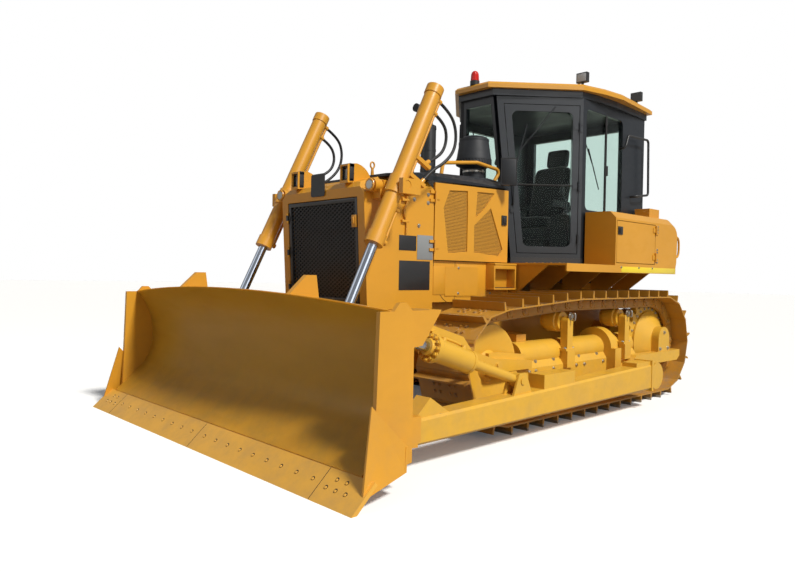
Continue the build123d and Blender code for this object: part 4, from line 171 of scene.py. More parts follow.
def ramp(tree, value, low, high, to_low=0.0, to_high=1.0):
    """Map a value's range smoothly on another."""
    limits = {"Value": value, "From Min": low, "From Max": high, "To Min": to_low, "To Max": to_high}
    return put(tree, "ShaderNodeMapRange", limits, interpolation_type="SMOOTHSTEP").outputs["Result"]


def blend(tree, factor, first, second):
    """Mix two colours."""
    return put(tree, "ShaderNodeMix", {0: factor, 6: first, 7: second}, data_type="RGBA").outputs[2]


def object_place(tree):
    """The place on the object that a pattern reads."""
    return put(tree, "ShaderNodeTexCoord").outputs["Object"]


def upright(tree, vector):
    """The Z part of a vector."""
    return put(tree, "ShaderNodeSeparateXYZ", {0: vector}).outputs["Z"]


def facing_up(tree):
    """How far a surface faces up."""
    return upright(tree, put(tree, "ShaderNodeNewGeometry").outputs["Normal"])


def inverse(tree, value):
    """One less a value."""
    return calc(tree, "SUBTRACT", 1.0, value)


def more(tree, value, mask, gain):
    """A value with a share of a mask added."""
    return calc(tree, "ADD", value, calc(tree, "MULTIPLY", mask, gain))


def rgba(colour, gain=1.0):
    """A colour with alpha, brightened or darkened."""
    return (*[min(1.0, c * gain) for c in colour[:3]], 1.0)


def new_group(name, inputs, outputs):
    """An empty node group with its sockets."""
    tree = bpy.data.node_groups.new(name, "ShaderNodeTree")
    for label, default in inputs:
        socket = tree.interface.new_socket(label, in_out="INPUT", socket_type="NodeSocketFloat")
        socket.default_value = default
    for label in outputs:
        tree.interface.new_socket(label, in_out="OUTPUT", socket_type="NodeSocketFloat")
    return tree, put(tree, "NodeGroupInput").outputs, put(tree, "NodeGroupOutput").inputs


def make_grain():
    """Broad colour drift, fine surface grain and smears."""
    tree, given, out = new_group("Grain", (("Fine", 180.0),), ("Drift", "Height", "Smear"))
    place = object_place(tree)
    drift = put(tree, "ShaderNodeTexNoise", {"Vector": place, "Scale": 1.6, "Detail": 5.0, "Roughness": 0.55})
    fine = put(tree, "ShaderNodeTexNoise", {"Vector": place, "Scale": given["Fine"], "Detail": 3.0})
    long = put(tree, "ShaderNodeMapping", {"Vector": place, "Scale": (1.4, 3.0, 7.0)})
    smear = put(tree, "ShaderNodeTexNoise", {"Vector": long.outputs[0], "Scale": 1.3, "Detail": 6.0,
                                             "Distortion": 0.6})
    tree.links.new(drift.outputs[0], out["Drift"])
    tree.links.new(fine.outputs[0], out["Height"])
    tree.links.new(ramp(tree, smear.outputs[0], low=0.42, high=0.68), out["Smear"])
    return tree


def make_wear():
    """Bare metal along outer edges, broken up by noise."""
    tree, given, out = new_group("Edge wear", (("Radius", 0.004), ("Amount", 0.5)), ("Mask",))
    bevelled = put(tree, "ShaderNodeBevel", {"Radius": given["Radius"]}, samples=4)
    facing = put(tree, "ShaderNodeNewGeometry").outputs["Normal"]
    turn = put(tree, "ShaderNodeVectorMath", {0: bevelled.outputs[0], 1: facing}, operation="DOT_PRODUCT")
    edge = ramp(tree, inverse(tree, turn.outputs["Value"]), low=0.015, high=0.12)
    chips = put(tree, "ShaderNodeTexNoise", {"Vector": object_place(tree), "Scale": 14.0, "Detail": 8.0,
                                             "Roughness": 0.7})
    fewest, spread = 0.78, 0.35
    limit = calc(tree, "SUBTRACT", fewest, calc(tree, "MULTIPLY", given["Amount"], spread))
    kept = calc(tree, "GREATER_THAN", chips.outputs[0], limit)
    tree.links.new(calc(tree, "MULTIPLY", edge, kept), out["Mask"])
    return tree


def make_dust():
    """Dust on what faces up and on what is low, with a soft ragged limit."""
    tree, given, out = new_group("Dust", (("Height", 0.9), ("Amount", 0.5)), ("Mask",))
    place = object_place(tree)
    cloud = put(tree, "ShaderNodeTexNoise", {"Vector": place, "Scale": 6.0, "Detail": 8.0, "Roughness": 0.65})
    level = calc(tree, "DIVIDE", upright(tree, place), given["Height"])
    low = inverse(tree, ramp(tree, level, low=0.05, high=1.0))
    up = ramp(tree, facing_up(tree), low=0.35, high=1.0, to_low=0.0, to_high=0.6)
    ragged = ramp(tree, cloud.outputs[0], low=0.35, high=0.72)
    both = calc(tree, "MULTIPLY", more(tree, low, up, gain=low), ragged)
    tree.links.new(calc(tree, "MULTIPLY", both, given["Amount"], clamp=True), out["Mask"])
    return tree


def shader(name):
    """A material with only its Principled shader and output."""
    material = bpy.data.materials.new(name)
    material.use_nodes = True
    tree = material.node_tree
    return material, tree, tree.nodes["Principled BSDF"]


def feed(tree, node, **inputs):
    """Fill or link a node's inputs; underscores stand for spaces."""
    for key, value in inputs.items():
        set_socket(tree, node.inputs[key.replace("_", " ")], value)


def shared(tree, name, **inputs):
    """One of the shared node groups in a material."""
    return put(tree, "ShaderNodeGroup", inputs, node_tree=bpy.data.node_groups[name]).outputs


def bumped(tree, height, distance, strength=0.35):
    """A normal from a height."""
    given = {"Height": height, "Distance": distance, "Strength": strength}
    return put(tree, "ShaderNodeBump", given).outputs[0]


def paint(name, colour, rough, wear, dust, bare=(0.16, 0.13, 0.11), coat=0.35, drift=0.12):
    """Enamel with drift in its colour, chips along edges and dust low down."""
    look = bpy.context.scene.dozer_paint
    material, tree, node = shader(name)
    grain = shared(tree, "Grain")
    chips = shared(tree, "Edge wear", Amount=wear)["Mask"]
    dusty = shared(tree, "Dust", Amount=dust)["Mask"]
    base = blend(tree, grain["Drift"], rgba(colour, 1 - drift), rgba(colour, 1 + drift))
    smear_share, smear_shade = 0.10, 0.72
    base = blend(tree, calc(tree, "MULTIPLY", grain["Smear"], smear_share), base, rgba(colour, smear_shade))
    base = blend(tree, dusty, base, rgba(look.dust))
    base = blend(tree, chips, base, rgba(bare))
    dust_rougher = 0.4
    shine = more(tree, rough, grain["Smear"], gain=0.12)
    shine = calc(tree, "ADD", shine, calc(tree, "MULTIPLY", dusty, dust_rougher), clamp=True)
    feed(tree, node, Base_Color=base, Roughness=shine, Coat_Weight=coat, Coat_Roughness=0.18, Metallic=0.0,
         Normal=bumped(tree, grain["Height"], distance=0.0006, strength=0.25))
    return material


def plastic(name, colour, rough, fine=420.0, depth=0.0004):
    """Moulded plastic or rubber with a fine texture."""
    material, tree, node = shader(name)
    grain = shared(tree, "Grain", Fine=fine)
    feed(tree, node, Base_Color=blend(tree, grain["Drift"], rgba(colour, 0.75), rgba(colour, 1.35)),
         Roughness=more(tree, rough, grain["Smear"], gain=0.12),
         Normal=bumped(tree, grain["Height"], distance=depth, strength=0.5))
    return material


def metal(name, colour, rough, drift=0.15):
    """Bare or plated metal with faint smears."""
    material, tree, node = shader(name)
    grain = shared(tree, "Grain", Fine=300.0)
    feed(tree, node, Base_Color=blend(tree, grain["Drift"], rgba(colour, 1 - drift), rgba(colour, 1 + drift)),
         Metallic=1.0, Roughness=more(tree, rough, grain["Smear"], gain=0.14),
         Normal=bumped(tree, grain["Height"], distance=0.0002, strength=0.2))
    return material


def make_track_finish(look):
    """Track enamel rubbed to bright steel where the grousers meet the ground, dusty between."""
    material, tree, node = shader("Track finish")
    grain = shared(tree, "Grain")
    chips = shared(tree, "Edge wear", Amount=0.75, Radius=0.007)["Mask"]
    dusty = shared(tree, "Dust", Amount=0.55, Height=1.3)["Mask"]
    level = upright(tree, object_place(tree))
    at_ground = inverse(tree, ramp(tree, level, low=0.010, high=0.034))
    rubbed = calc(tree, "MULTIPLY", at_ground, ramp(tree, grain["Drift"], low=0.3, high=0.5))
    base = blend(tree, grain["Drift"], rgba(look.yellow, 0.50), rgba(look.yellow, 0.86))
    base = blend(tree, dusty, base, rgba(look.dust, 0.9))
    # The top run's upward faces are blended towards a darker brown.
    top_run_darker = calc(tree, "MULTIPLY", ramp(tree, facing_up(tree), low=0.5, high=0.85),
                  ramp(tree, level, low=0.90, high=0.98))
    base = blend(tree, calc(tree, "MULTIPLY", top_run_darker, 0.85), base, TOP_RUN_DARK)
    base = blend(tree, chips, base, CHIPPED_STEEL)
    base = blend(tree, rubbed, base, RUBBED_STEEL)
    enamel_rough, dust_rougher, rubbed_smoother = 0.46, 0.3, 0.15
    rough = calc(tree, "SUBTRACT", more(tree, enamel_rough, dusty, gain=dust_rougher),
                 calc(tree, "MULTIPLY", rubbed, rubbed_smoother))
    feed(tree, node, Base_Color=base, Roughness=rough, Metallic=rubbed, Coat_Weight=0.1,
         Normal=bumped(tree, grain["Height"], distance=0.0012, strength=0.35))
    return material


def make_glass(look):
    """Tinted safety glass, a little dirty."""
    material, tree, node = shader("Window glass")
    grain = shared(tree, "Grain")
    feed(tree, node, Base_Color=blend(tree, grain["Drift"], rgba(look.tint, 0.97), rgba(look.tint, 1.03)),
         Transmission_Weight=1.0, IOR=1.12, Metallic=0.0, Specular_IOR_Level=0.15,
         Roughness=calc(tree, "MULTIPLY", grain["Smear"], 0.05))
    return material


def wave(tree, place, scale, direction):
    """Soft parallel bands."""
    bands = put(tree, "ShaderNodeTexWave", {"Vector": place, "Scale": scale}, bands_direction=direction)
    return bands.outputs[1]


def make_lens(name, colour, transmission):
    """Moulded lens with fluting."""
    material, tree, node = shader(name)
    flutes = wave(tree, object_place(tree), scale=40.0, direction="X")
    feed(tree, node, Base_Color=blend(tree, flutes, rgba(colour, 0.8), rgba(colour, 1.15)), Roughness=0.12,
         Transmission_Weight=transmission, Normal=bumped(tree, flutes, distance=0.002, strength=0.4))
    return material


def make_screen(look):
    """Punched sheet: holes in offset rows on yellow paint, each hole painted near black as the shade behind
    it.
    """
    material, tree, node = shader("Punched screen")
    place = put(tree, "ShaderNodeSeparateXYZ", {0: object_place(tree)}).outputs
    pitch, row_share = 0.0135, math.sqrt(3)
    hole_inner, hole_outer = 0.0040, 0.0052
    distances = []
    for shift in (0.0, 0.5):
        parts = []
        for axis, size in (("Y", pitch), ("Z", pitch * row_share)):
            cell = calc(tree, "FRACT", calc(tree, "ADD", calc(tree, "DIVIDE", place[axis], size), shift))
            parts.append(calc(tree, "MULTIPLY", calc(tree, "SUBTRACT", cell, 0.5), size))
        squares = [calc(tree, "MULTIPLY", p, p) for p in parts]
        distances.append(calc(tree, "SQRT", calc(tree, "ADD", squares[0], squares[1])))
    near = calc(tree, "MINIMUM", distances[0], distances[1])
    solid = ramp(tree, near, low=hole_inner, high=hole_outer)
    grain = shared(tree, "Grain")
    base = blend(tree, grain["Drift"], rgba(look.yellow, 0.9), rgba(look.yellow, 1.1))
    hole_rough, paint_smoother = 0.85, 0.42
    # Painted shade: the holes are drawn as near-black spots, not cut through.
    feed(tree, node, Base_Color=blend(tree, solid, HOLE_SHADE, base),
         Roughness=calc(tree, "SUBTRACT", hole_rough, calc(tree, "MULTIPLY", solid, paint_smoother)),
         Normal=bumped(tree, solid, distance=0.002, strength=0.6))
    return material


def make_core(name):
    """Radiator core: fine fins between upright tubes."""
    material, tree, node = shader(name)
    place = object_place(tree)
    fins = wave(tree, place, scale=60.0, direction="Z")
    tubes = wave(tree, place, scale=14.0, direction="X")
    both = calc(tree, "MULTIPLY", fins, tubes)
    feed(tree, node, Base_Color=blend(tree, both, CORE_SHADE, CORE_LIGHT),
         Roughness=0.55, Metallic=0.3, Normal=bumped(tree, both, distance=0.004, strength=0.7))
    return material


def make_fabric(name):
    """Woven seat cloth with soft sheen."""
    material, tree, node = shader(name)
    place, threads = object_place(tree), 240.0
    warp, weft, rise = [wave(tree, place, scale=threads, direction=direction) for direction in "XYZ"]
    weave = calc(tree, "MAXIMUM", calc(tree, "MULTIPLY", warp, weft), calc(tree, "MULTIPLY", warp, rise))
    feed(tree, node, Base_Color=blend(tree, weave, CLOTH_SHADE, CLOTH_LIGHT),
         Roughness=0.9, Sheen_Weight=0.3, Normal=bumped(tree, weave, distance=0.0006, strength=0.5))
    return material


def tinted(colour, gains):
    """A colour with each of its parts made stronger or weaker."""
    return [part * gain for part, gain in zip(colour, gains)]


FINISHES = {}


def make_finishes():
    """All finishes, by the name of their material slot or use."""
    look = bpy.context.scene.dozer_paint
    make_grain()
    make_wear()
    make_dust()
    FINISHES.update(
        yellow_paint=paint("Yellow enamel", look.yellow, rough=0.36, wear=look.wear * 0.45, dust=0.10),
        frame_yellow=paint("Running gear enamel", tinted(look.yellow, GEAR_TINT), rough=0.42, wear=look.wear,
                           dust=0.26),
        blade_yellow=paint("Blade enamel", look.yellow, rough=0.34, wear=look.wear * 0.8, dust=0.16,
                           drift=0.16),
        track_paint=make_track_finish(look),
        cab_paint=paint("Cab slate", look.slate, rough=0.34, wear=0.1, dust=0.03, bare=(0.10, 0.10, 0.10),
                        coat=0.2),
        hood_paint=paint("Hood slate", tinted(look.slate, HOOD_TINT), rough=0.42, wear=0.1, dust=0.06,
                         bare=(0.10, 0.10, 0.10), coat=0.1),
        dark_paint=paint("Dark floor paint", (0.020, 0.021, 0.023), rough=0.55, wear=0.3, dust=0.12),
        engine_paint=paint("Engine grey", (0.14, 0.14, 0.14), rough=0.5, wear=0.3, dust=0.3, coat=0.1),
        black_metal=paint("Black enamel", (0.018, 0.019, 0.021), rough=0.42, wear=0.25, dust=0.10,
                          bare=(0.10, 0.09, 0.08)),
        weave=paint("Grille enamel", (0.028, 0.029, 0.032), rough=0.40, wear=0.25, dust=0.04,
                    bare=(0.16, 0.15, 0.14)),
        black_plastic=plastic("Black plastic", (0.020, 0.023, 0.028), rough=0.5),
        console_plastic=plastic("Console plastic", (0.022, 0.024, 0.027), rough=0.55),
        edge_steel=paint("Edge enamel", look.edge_yellow, rough=0.4, wear=look.wear, dust=0.22,
                         bare=(0.30, 0.25, 0.2), drift=0.1),
        chrome_rod=metal("Chrome rod", (0.52, 0.57, 0.66), rough=0.10),
        bright=metal("Zinc plate", (0.55, 0.54, 0.50), rough=0.32),
        dark_bolt=metal("Dark steel, seams and recess shade", (0.09, 0.075, 0.06), rough=0.5),
        window_glass=make_glass(look),
        seat_fabric=make_fabric("Seat cloth"),
        red_lens=make_lens("Beacon lens", (0.75, 0.02, 0.015), transmission=0.25),
        lamp_lens=make_lens("Lamp lens", (0.72, 0.75, 0.78), transmission=0.35),
        hose_rubber=plastic("Hose rubber", (0.015, 0.015, 0.016), rough=0.48, fine=700.0, depth=0.0006),
        rubber=plastic("Seal rubber and mouth shade", (0.010, 0.010, 0.011), rough=0.6),
        mirror=metal("Mirror glass", (0.8, 0.82, 0.84), rough=0.03, drift=0.02),
        screen=make_screen(look),
        core=make_core("Radiator fins"),
        # Painted light: the blade's shaded face gets a lighter, more olive copy of the blade enamel.
        face_paint=paint("Blade face enamel, painted lighter", tinted(look.yellow, FACE_LIGHT_GAIN), rough=0.30, wear=0.15,
                         dust=0.16, coat=0.3),
        # The fender strips are a painted highlight on the sunlit flange.
        strip_yellow=paint("Fender painted highlight", (0.90, 0.68, 0.03), rough=0.3, wear=0.05, dust=0.02, coat=0.6),
        plate_grey=paint("Grey plate", (0.26, 0.28, 0.29), rough=0.4, wear=0.1, dust=0.05),
    )


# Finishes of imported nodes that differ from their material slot's
NODE_FINISH = {
    "radiator_core": "core", "blade": "blade_yellow", "roof_lamps": "black_metal",
    "hood_lights": "yellow_paint",
    "track_frames": "frame_yellow", "rollers": "frame_yellow", "idlers": "frame_yellow",
    "sprockets": "frame_yellow", "final_drives": "frame_yellow", "push_arms": "frame_yellow",
    "tilt_cylinder": "frame_yellow", "tilt_brace": "frame_yellow",
}


def finish_of(node):
    """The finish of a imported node: its own, or its material slot's."""
    rows = {row["node"]: row["material_slot"] for row in frame["record"]["subparts"]}
    return NODE_FINISH.get(node, rows[node])


def piece(name, bm, body, finish, smooth=32, replaces=()):
    """Finish a mesh as a piece that rides on a body."""
    bmesh.ops.recalc_face_normals(bm, faces=bm.faces)
    mesh = bpy.data.meshes.new(name)
    bm.to_mesh(mesh)
    bm.free()
    mesh.shade_smooth()
    mesh.set_sharp_from_angle(angle=math.radians(smooth))
    made = bpy.data.objects.new(name, mesh)
    bpy.context.scene.collection.objects.link(made)
    mesh.materials.append(FINISHES[finish])
    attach(made, body)
    if replaces:
        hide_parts(*replaces)
    return made


def add_box(bm, low, high, bevel=0.003, turn=None):
    """A block between two corners with its edges broken."""
    middle = (Vector(low) + Vector(high)) / 2
    size = Vector(high) - Vector(low)
    matrix = Matrix.Translation(middle) @ Matrix.Diagonal((*size, 1.0))
    if turn is not None:
        matrix = turn @ matrix
    made = bmesh.ops.create_cube(bm, size=1.0, matrix=matrix)
    if bevel:
        edges = {e for v in made["verts"] for e in v.link_edges}
        bmesh.ops.bevel(bm, geom=list(edges), offset=bevel, segments=2, profile=0.5, affect="EDGES",
                        material=-1)


def add_side_box(bm, sign, low, high, bevel):
    """A block given for the left side, on the side that a sign names."""
    x0, x1 = sorted((sign * low[0], sign * high[0]))
    add_box(bm, (x0, *low[1:]), (x1, *high[1:]), bevel=bevel)


def frame_of(across, along, out, place):
    """A matrix from three axes and a place."""
    turn = Matrix((across, along, out)).transposed().to_4x4()
    turn.translation = place
    return turn


def ring_of(count, radius):
    """The (x, y) of evenly spaced places on a circle."""
    turns = [math.tau * index / count for index in range(count)]
    return [(radius * math.cos(turn), radius * math.sin(turn)) for turn in turns]


def aim(place, out):
    """A matrix whose Z axis points outward at a place."""
    matrix = Vector(out).to_track_quat("Z", "Y").to_matrix().to_4x4()
    matrix.translation = Vector(place)
    return matrix


def add_drum(bm, place, out, radius, depth, top=None, segments=24):
    """A round boss standing outward from a place."""
    bmesh.ops.create_cone(bm, cap_ends=True, cap_tris=False, segments=segments, radius1=radius,
                          radius2=radius if top is None else top, depth=depth,
                          matrix=aim(place, out) @ Matrix.Translation((0, 0, depth / 2)))


def add_bolt(bm, place, out, radius=0.013, height=0.014):
    """A hexagon head on its washer."""
    washer, washer_top, washer_high, seat, head_top = 1.5, 1.42, 0.28, 0.27, 0.92
    add_drum(bm, place, out, radius * washer, height * washer_high, radius * washer_top, segments=14)
    out = Vector(out).normalized()
    head = Vector(place) + out * height * seat
    add_drum(bm, head, out, radius, height * (1 - seat), radius * head_top, segments=6)


def add_pipe(bm, points, radius, segments=10):
    """A round bar through points with mitred turns."""
    points = [Vector(p) for p in points]
    recess_shades_and_seams = []
    for index, point in enumerate(points):
        before = points[max(index - 1, 0)]
        after = points[min(index + 1, len(points) - 1)]
        heading = (after - before).normalized()
        made = bmesh.ops.create_circle(bm, cap_ends=False, segments=segments, radius=radius,
                                       matrix=aim(point, heading))
        recess_shades_and_seams.append([e for v in made["verts"] for e in v.link_edges if e.other_vert(v) in made["verts"]])
    for first, second in zip(recess_shades_and_seams, recess_shades_and_seams[1:]):
        bmesh.ops.bridge_loops(bm, edges=list(set(first) | set(second)))
    for ends in (recess_shades_and_seams[0], recess_shades_and_seams[-1]):
        bmesh.ops.contextual_create(bm, geom=list(set(ends)))


def curved(points, steps=8, share=0.42):
    """A line with its corners rounded over a share of the way to the next ones."""
    points = [Vector(p) for p in points]
    line = [points[0]]
    for before, corner, after in zip(points, points[1:], points[2:]):
        start = corner.lerp(before, share)
        end = corner.lerp(after, share)
        for step in range(steps + 1):
            t = step / steps
            line.append(start.lerp(corner, t).lerp(corner.lerp(end, t), t))
    line.append(points[-1])
    return line


def add_outline(bm, origin, x_dir, y_dir, outline, depth):
    """A plate: an outline of (x, y) points on a plane, made thick along the plane's normal."""
    origin, x_dir, y_dir = Vector(origin), Vector(x_dir).normalized(), Vector(y_dir).normalized()
    corners = [bm.verts.new(origin + x_dir * x + y_dir * y) for x, y in outline]
    face = bm.faces.new(corners)
    made = bmesh.ops.extrude_face_region(bm, geom=[face])
    shift = x_dir.cross(y_dir).normalized() * depth
    bmesh.ops.translate(bm, verts=[v for v in made["geom"] if isinstance(v, bmesh.types.BMVert)], vec=shift)


def add_ring(bm, origin, x_dir, y_dir, outline, width, depth):
    """A frame of even width inside an outline, standing out along the plane's normal."""
    origin, x_dir, y_dir = Vector(origin), Vector(x_dir).normalized(), Vector(y_dir).normalized()
    corners = [bm.verts.new(origin + x_dir * x + y_dir * y) for x, y in outline]
    face = bm.faces.new(corners)
    rim = bmesh.ops.inset_region(bm, faces=[face], thickness=width, use_even_offset=True)["faces"]
    bmesh.ops.delete(bm, geom=[face], context="FACES")
    made = bmesh.ops.extrude_face_region(bm, geom=rim)
    shift = x_dir.cross(y_dir).normalized() * depth
    bmesh.ops.translate(bm, verts=[v for v in made["geom"] if isinstance(v, bmesh.types.BMVert)], vec=shift)


def rounded(points, radius, steps=5):
    """An outline with its corners rounded."""
    points = [Vector(p) for p in points]
    line = []
    for index, corner in enumerate(points):
        before, after = points[index - 1], points[(index + 1) % len(points)]
        start = corner + (before - corner).normalized() * radius
        end = corner + (after - corner).normalized() * radius
        for step in range(steps + 1):
            t = step / steps
            line.append(tuple(start.lerp(corner, t).lerp(corner.lerp(end, t), t)))
    return line


def front_lean(z):
    """Y of the nose's leaning face at a height."""
    share = (z - GUARD_LOW) / (GUARD_TOP - GUARD_CAP - GUARD_LOW)
    return GUARD_FRONT_LOW + (GUARD_FRONT_TOP - GUARD_FRONT_LOW) * share


def face_depth(z):
    """How far back the mouldboard's face lies at a height."""
    (y0, z0), (y1, z1) = EDGE_TOP, FACE_KNEE
    if z < z1:
        return y0 + (y1 - y0) * (z - z0) / (z1 - z0)
    a, b, c = Vector(FACE_KNEE), Vector(FACE_DEEPEST), Vector(FACE_CREST)
    turn = 2 * ((b - a).cross(c - a))
    ab, ac = (b - a).length_squared, (c - a).length_squared
    middle = Vector(((c.y - a.y) * ab - (b.y - a.y) * ac, (b.x - a.x) * ac - (c.x - a.x) * ab)) / turn
    radius = middle.length
    middle += a
    return middle.x + math.sqrt(max(radius ** 2 - (z - middle.y) ** 2, 0.0))


def arc(centre, radius, start):
    """A function from the length along an arc to (y, z)."""
    return lambda length: (centre[0] + radius * math.cos(start + length / radius),
                           centre[1] + radius * math.sin(start + length / radius))


def straight(start, end):
    """A function from the length along a line to (y, z)."""
    whole = math.dist(start, end)
    return lambda length: tuple(a + (b - a) * length / whole for a, b in zip(start, end))


def chain_legs(idler_y):
    """The legs of the line that the pins follow, each a length and a function from a length to (y, z)."""
    run, rise = TOP_RUN_END - idler_y, TOP_RUN - IDLER_Z
    span = math.hypot(run, rise)
    leave = math.atan2(rise, run) + math.acos(IDLER_PIN_CIRCLE / span)
    over_idler = arc((idler_y, IDLER_Z), IDLER_PIN_CIRCLE, leave)
    bend, quarter = (TOP_RUN_END, TOP_RUN), PIN_CIRCLE * math.pi / 2
    return (
        (quarter, arc(SPROCKET, PIN_CIRCLE, 0)),
        (SPROCKET[0] - TOP_RUN_END, straight((SPROCKET[0], TOP_RUN), bend)),
        (math.sqrt(span ** 2 - IDLER_PIN_CIRCLE ** 2), straight(bend, over_idler(0))),
        (IDLER_PIN_CIRCLE * (1.5 * math.pi - leave), over_idler),
        (SPROCKET[0] - idler_y, straight((idler_y, PIN_HEIGHT), (SPROCKET[0], PIN_HEIGHT))),
        (quarter, arc(SPROCKET, PIN_CIRCLE, -math.pi / 2)),
    )


def last_true(low, high, test):
    """Where a test stops being true between two limits, by halving."""
    for _ in range(40):
        middle = (low + high) / 2
        if test(middle):
            low = middle
        else:
            high = middle
    return low


def walk_pins(idler_y):
    """Step the pins one pitch at a time; return them and what is left over."""
    legs = chain_legs(idler_y)
    whole = sum(length for length, _ in legs)

    def place(travelled):
        left = travelled % whole
        for length, leg in legs:
            if left < length:
                break
            left -= length
        return leg(left)

    pins, travelled = [place(0)], 0.0
    least, most = 0.8 * PITCH, 1.4 * PITCH
    for _ in range(SHOE_COUNT):
        travelled = last_true(travelled + least, travelled + most,
                              lambda length: math.dist(place(length), pins[-1]) < PITCH)
        pins.append(place(travelled))
    return pins[:-1], travelled - whole


def link_frames():
    """For each link of the chain its middle, with axes across, along and outward."""
    half_chain = PITCH * SHOE_COUNT / 2
    farthest, nearest = 0.7 * half_chain, 0.3 * half_chain
    idler_y = last_true(SPROCKET[0] - farthest, SPROCKET[0] - nearest, lambda y: walk_pins(y)[1] <= 0)
    pins = [(round(y, 3), round(z, 3)) for y, z in walk_pins(idler_y)[0]]
    frames = []
    for (y0, z0), (y1, z1) in zip(pins, pins[1:] + pins[:1]):
        along = Vector((0, y1 - y0, z1 - z0)).normalized()
        frames.append(frame_of(Vector((-1, 0, 0)), along, Vector((0, along.z, -along.y)),
                               Vector((0, (y0 + y1) / 2, (z0 + z1) / 2))))
    return frames


def add_seal(bm, origin, x_dir, y_dir, outline, corner=0.055, width=0.014):
    """A rubber seal round a window, standing out toward the side the plane faces."""
    add_ring(bm, origin, x_dir, y_dir, rounded(outline, radius=corner), width, depth=0.004)


class Maker(bpy.types.Operator):
    """Base of the making operators."""

    bl_options = {"REGISTER", "UNDO"}

    def execute(self, context):
        self.make(context.scene)
        return {"FINISHED"}


class DOZER_OT_finishes(Maker):
    """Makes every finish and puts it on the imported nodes"""

    bl_idname = "dozer.finishes"
    bl_label = "Finishes"

    def make(self, scene):
        make_finishes()
        for name, node in frame["nodes"].items():
            wanted = FINISHES[finish_of(name)]
            for slot in node.material_slots:
                slot.material = wanted


def add_strands(bm, turn, tall, wide, rise):
    """The two layers of slanting bars that make the grille's diamonds."""
    half, inset = GRILLE_HALF - GRILLE_RIM / 2, GRILLE_RIM / 2
    deep, bar_half, thick_half, shortest = -0.018, 0.0040, 0.0015, 0.020
    slope = rise / wide
    count = int((half + (tall / 2) / slope) / wide)
    for way in (-1, 1):
        for index in range(-count, count + 1):
            middle = index * wide
            ends = []
            for x in (-half, half):
                y = min(max(tall / 2 + way * slope * (x - middle), inset), tall - inset)
                ends.append((middle + way * (y - tall / 2) / slope, y))
            (x0, y0), (x1, y1) = ends
            length = math.hypot(x1 - x0, y1 - y0)
            if length < shortest:
                continue
            spin = Matrix.Rotation(math.atan2(y1 - y0, x1 - x0), 4, "Z")
            place = Matrix.Translation(((x0 + x1) / 2, (y0 + y1) / 2, deep + way * thick_half))
            add_box(bm, (-length / 2, -bar_half, -thick_half), (length / 2, bar_half, thick_half),
                    bevel=0, turn=turn @ place @ spin)


class DOZER_OT_grille(Maker):
    """Makes the grille door with its fine mesh, hinges and latch"""

    bl_idname = "dozer.grille"
    bl_label = "Grille door"

    def make(self, scene):
        sizes = scene.dozer_sizes
        origin = Vector((0, front_lean(GRILLE_LOW), GRILLE_LOW))
        rise = Vector((0, front_lean(GRILLE_HIGH) - front_lean(GRILLE_LOW), GRILLE_HIGH - GRILLE_LOW))
        tall, up, across = rise.length, rise.normalized(), Vector(X_WAY)
        turn = frame_of(across, up, across.cross(up).normalized(), origin)
        back, front, lap, step = -0.032, -0.002, 0.020, 0.0005
        bm = bmesh.new()
        for low, high in (
            ((-GRILLE_HALF, 0, back), (-GRILLE_HALF + GRILLE_RIM, tall, front)),
            ((GRILLE_HALF - GRILLE_RIM, 0, back), (GRILLE_HALF, tall, front)),
            ((-GRILLE_HALF + lap, 0, back), (GRILLE_HALF - lap, GRILLE_RIM, front - step)),
            ((-GRILLE_HALF + lap, tall - GRILLE_RIM, back), (GRILLE_HALF - lap, tall, front - step)),
        ):
            add_box(bm, low, high, bevel=0.004, turn=turn)
        add_strands(bm, turn, tall, sizes.mesh_wide, sizes.mesh_tall)
        axis, leaf, hinge_long = -GRILLE_HALF - 0.003, 0.004, 0.044
        for place in (0.080, 0.360, 0.640):
            start = origin + up * place + Vector((axis, -0.012, 0))
            add_drum(bm, start, up, radius=0.009, depth=hinge_long)
            add_box(bm, (axis, place + leaf, -leaf),
                    (-GRILLE_HALF + GRILLE_RIM - leaf, place + hinge_long - leaf, leaf),
                    bevel=0.001, turn=turn)
        piece("grille_weave", bm, "grille_door_group", "weave", replaces=("grille_door",))
        latch = bmesh.new()
        for low, high in (
            ((GRILLE_HALF - 0.052, 0.560, -0.003), (GRILLE_HALF - 0.004, 0.650, 0.014)),
            ((GRILLE_HALF - 0.040, 0.585, 0.012), (GRILLE_HALF - 0.016, 0.635, 0.024)),
        ):
            add_box(latch, low, high, bevel=0.004, turn=turn)
        piece("grille_latch", latch, "grille_door_group", "yellow_paint")


class DOZER_OT_screens(Maker):
    """Makes the punched screens of the engine doors, and the doors' latches"""

    bl_idname = "dozer.screens"
    bl_label = "Engine door screens"

    def make(self, scene):
        sheet, seat = 0.003, 0.0005
        latch_plate = ((-0.002, 0.098, 1.628), (0.012, 0.166, 1.716))
        latch_grip = ((0.004, 0.112, 1.645), (0.020, 0.150, 1.700))
        for side, sign in SIDES:
            door = Vector((sign * DOOR_X, 0, 0))
            back = (sign * (DOOR_X - VENT_DEPTH + seat), 0, 0)
            bm = bmesh.new()
            for field in VENT_FIELDS:
                add_outline(bm, back, Y_WAY, UP, field[::sign], depth=sheet * sign)
            piece(side + "_door_screens", bm, side + "_engine_door_group", "screen")
            trim = bmesh.new()
            for (low, high), bevel in ((latch_plate, 0.005), (latch_grip, 0.006)):
                add_box(trim, door + Vector(low), door + Vector(high), bevel=bevel)
            piece(side + "_door_latch", trim, side + "_engine_door_group", "black_metal")


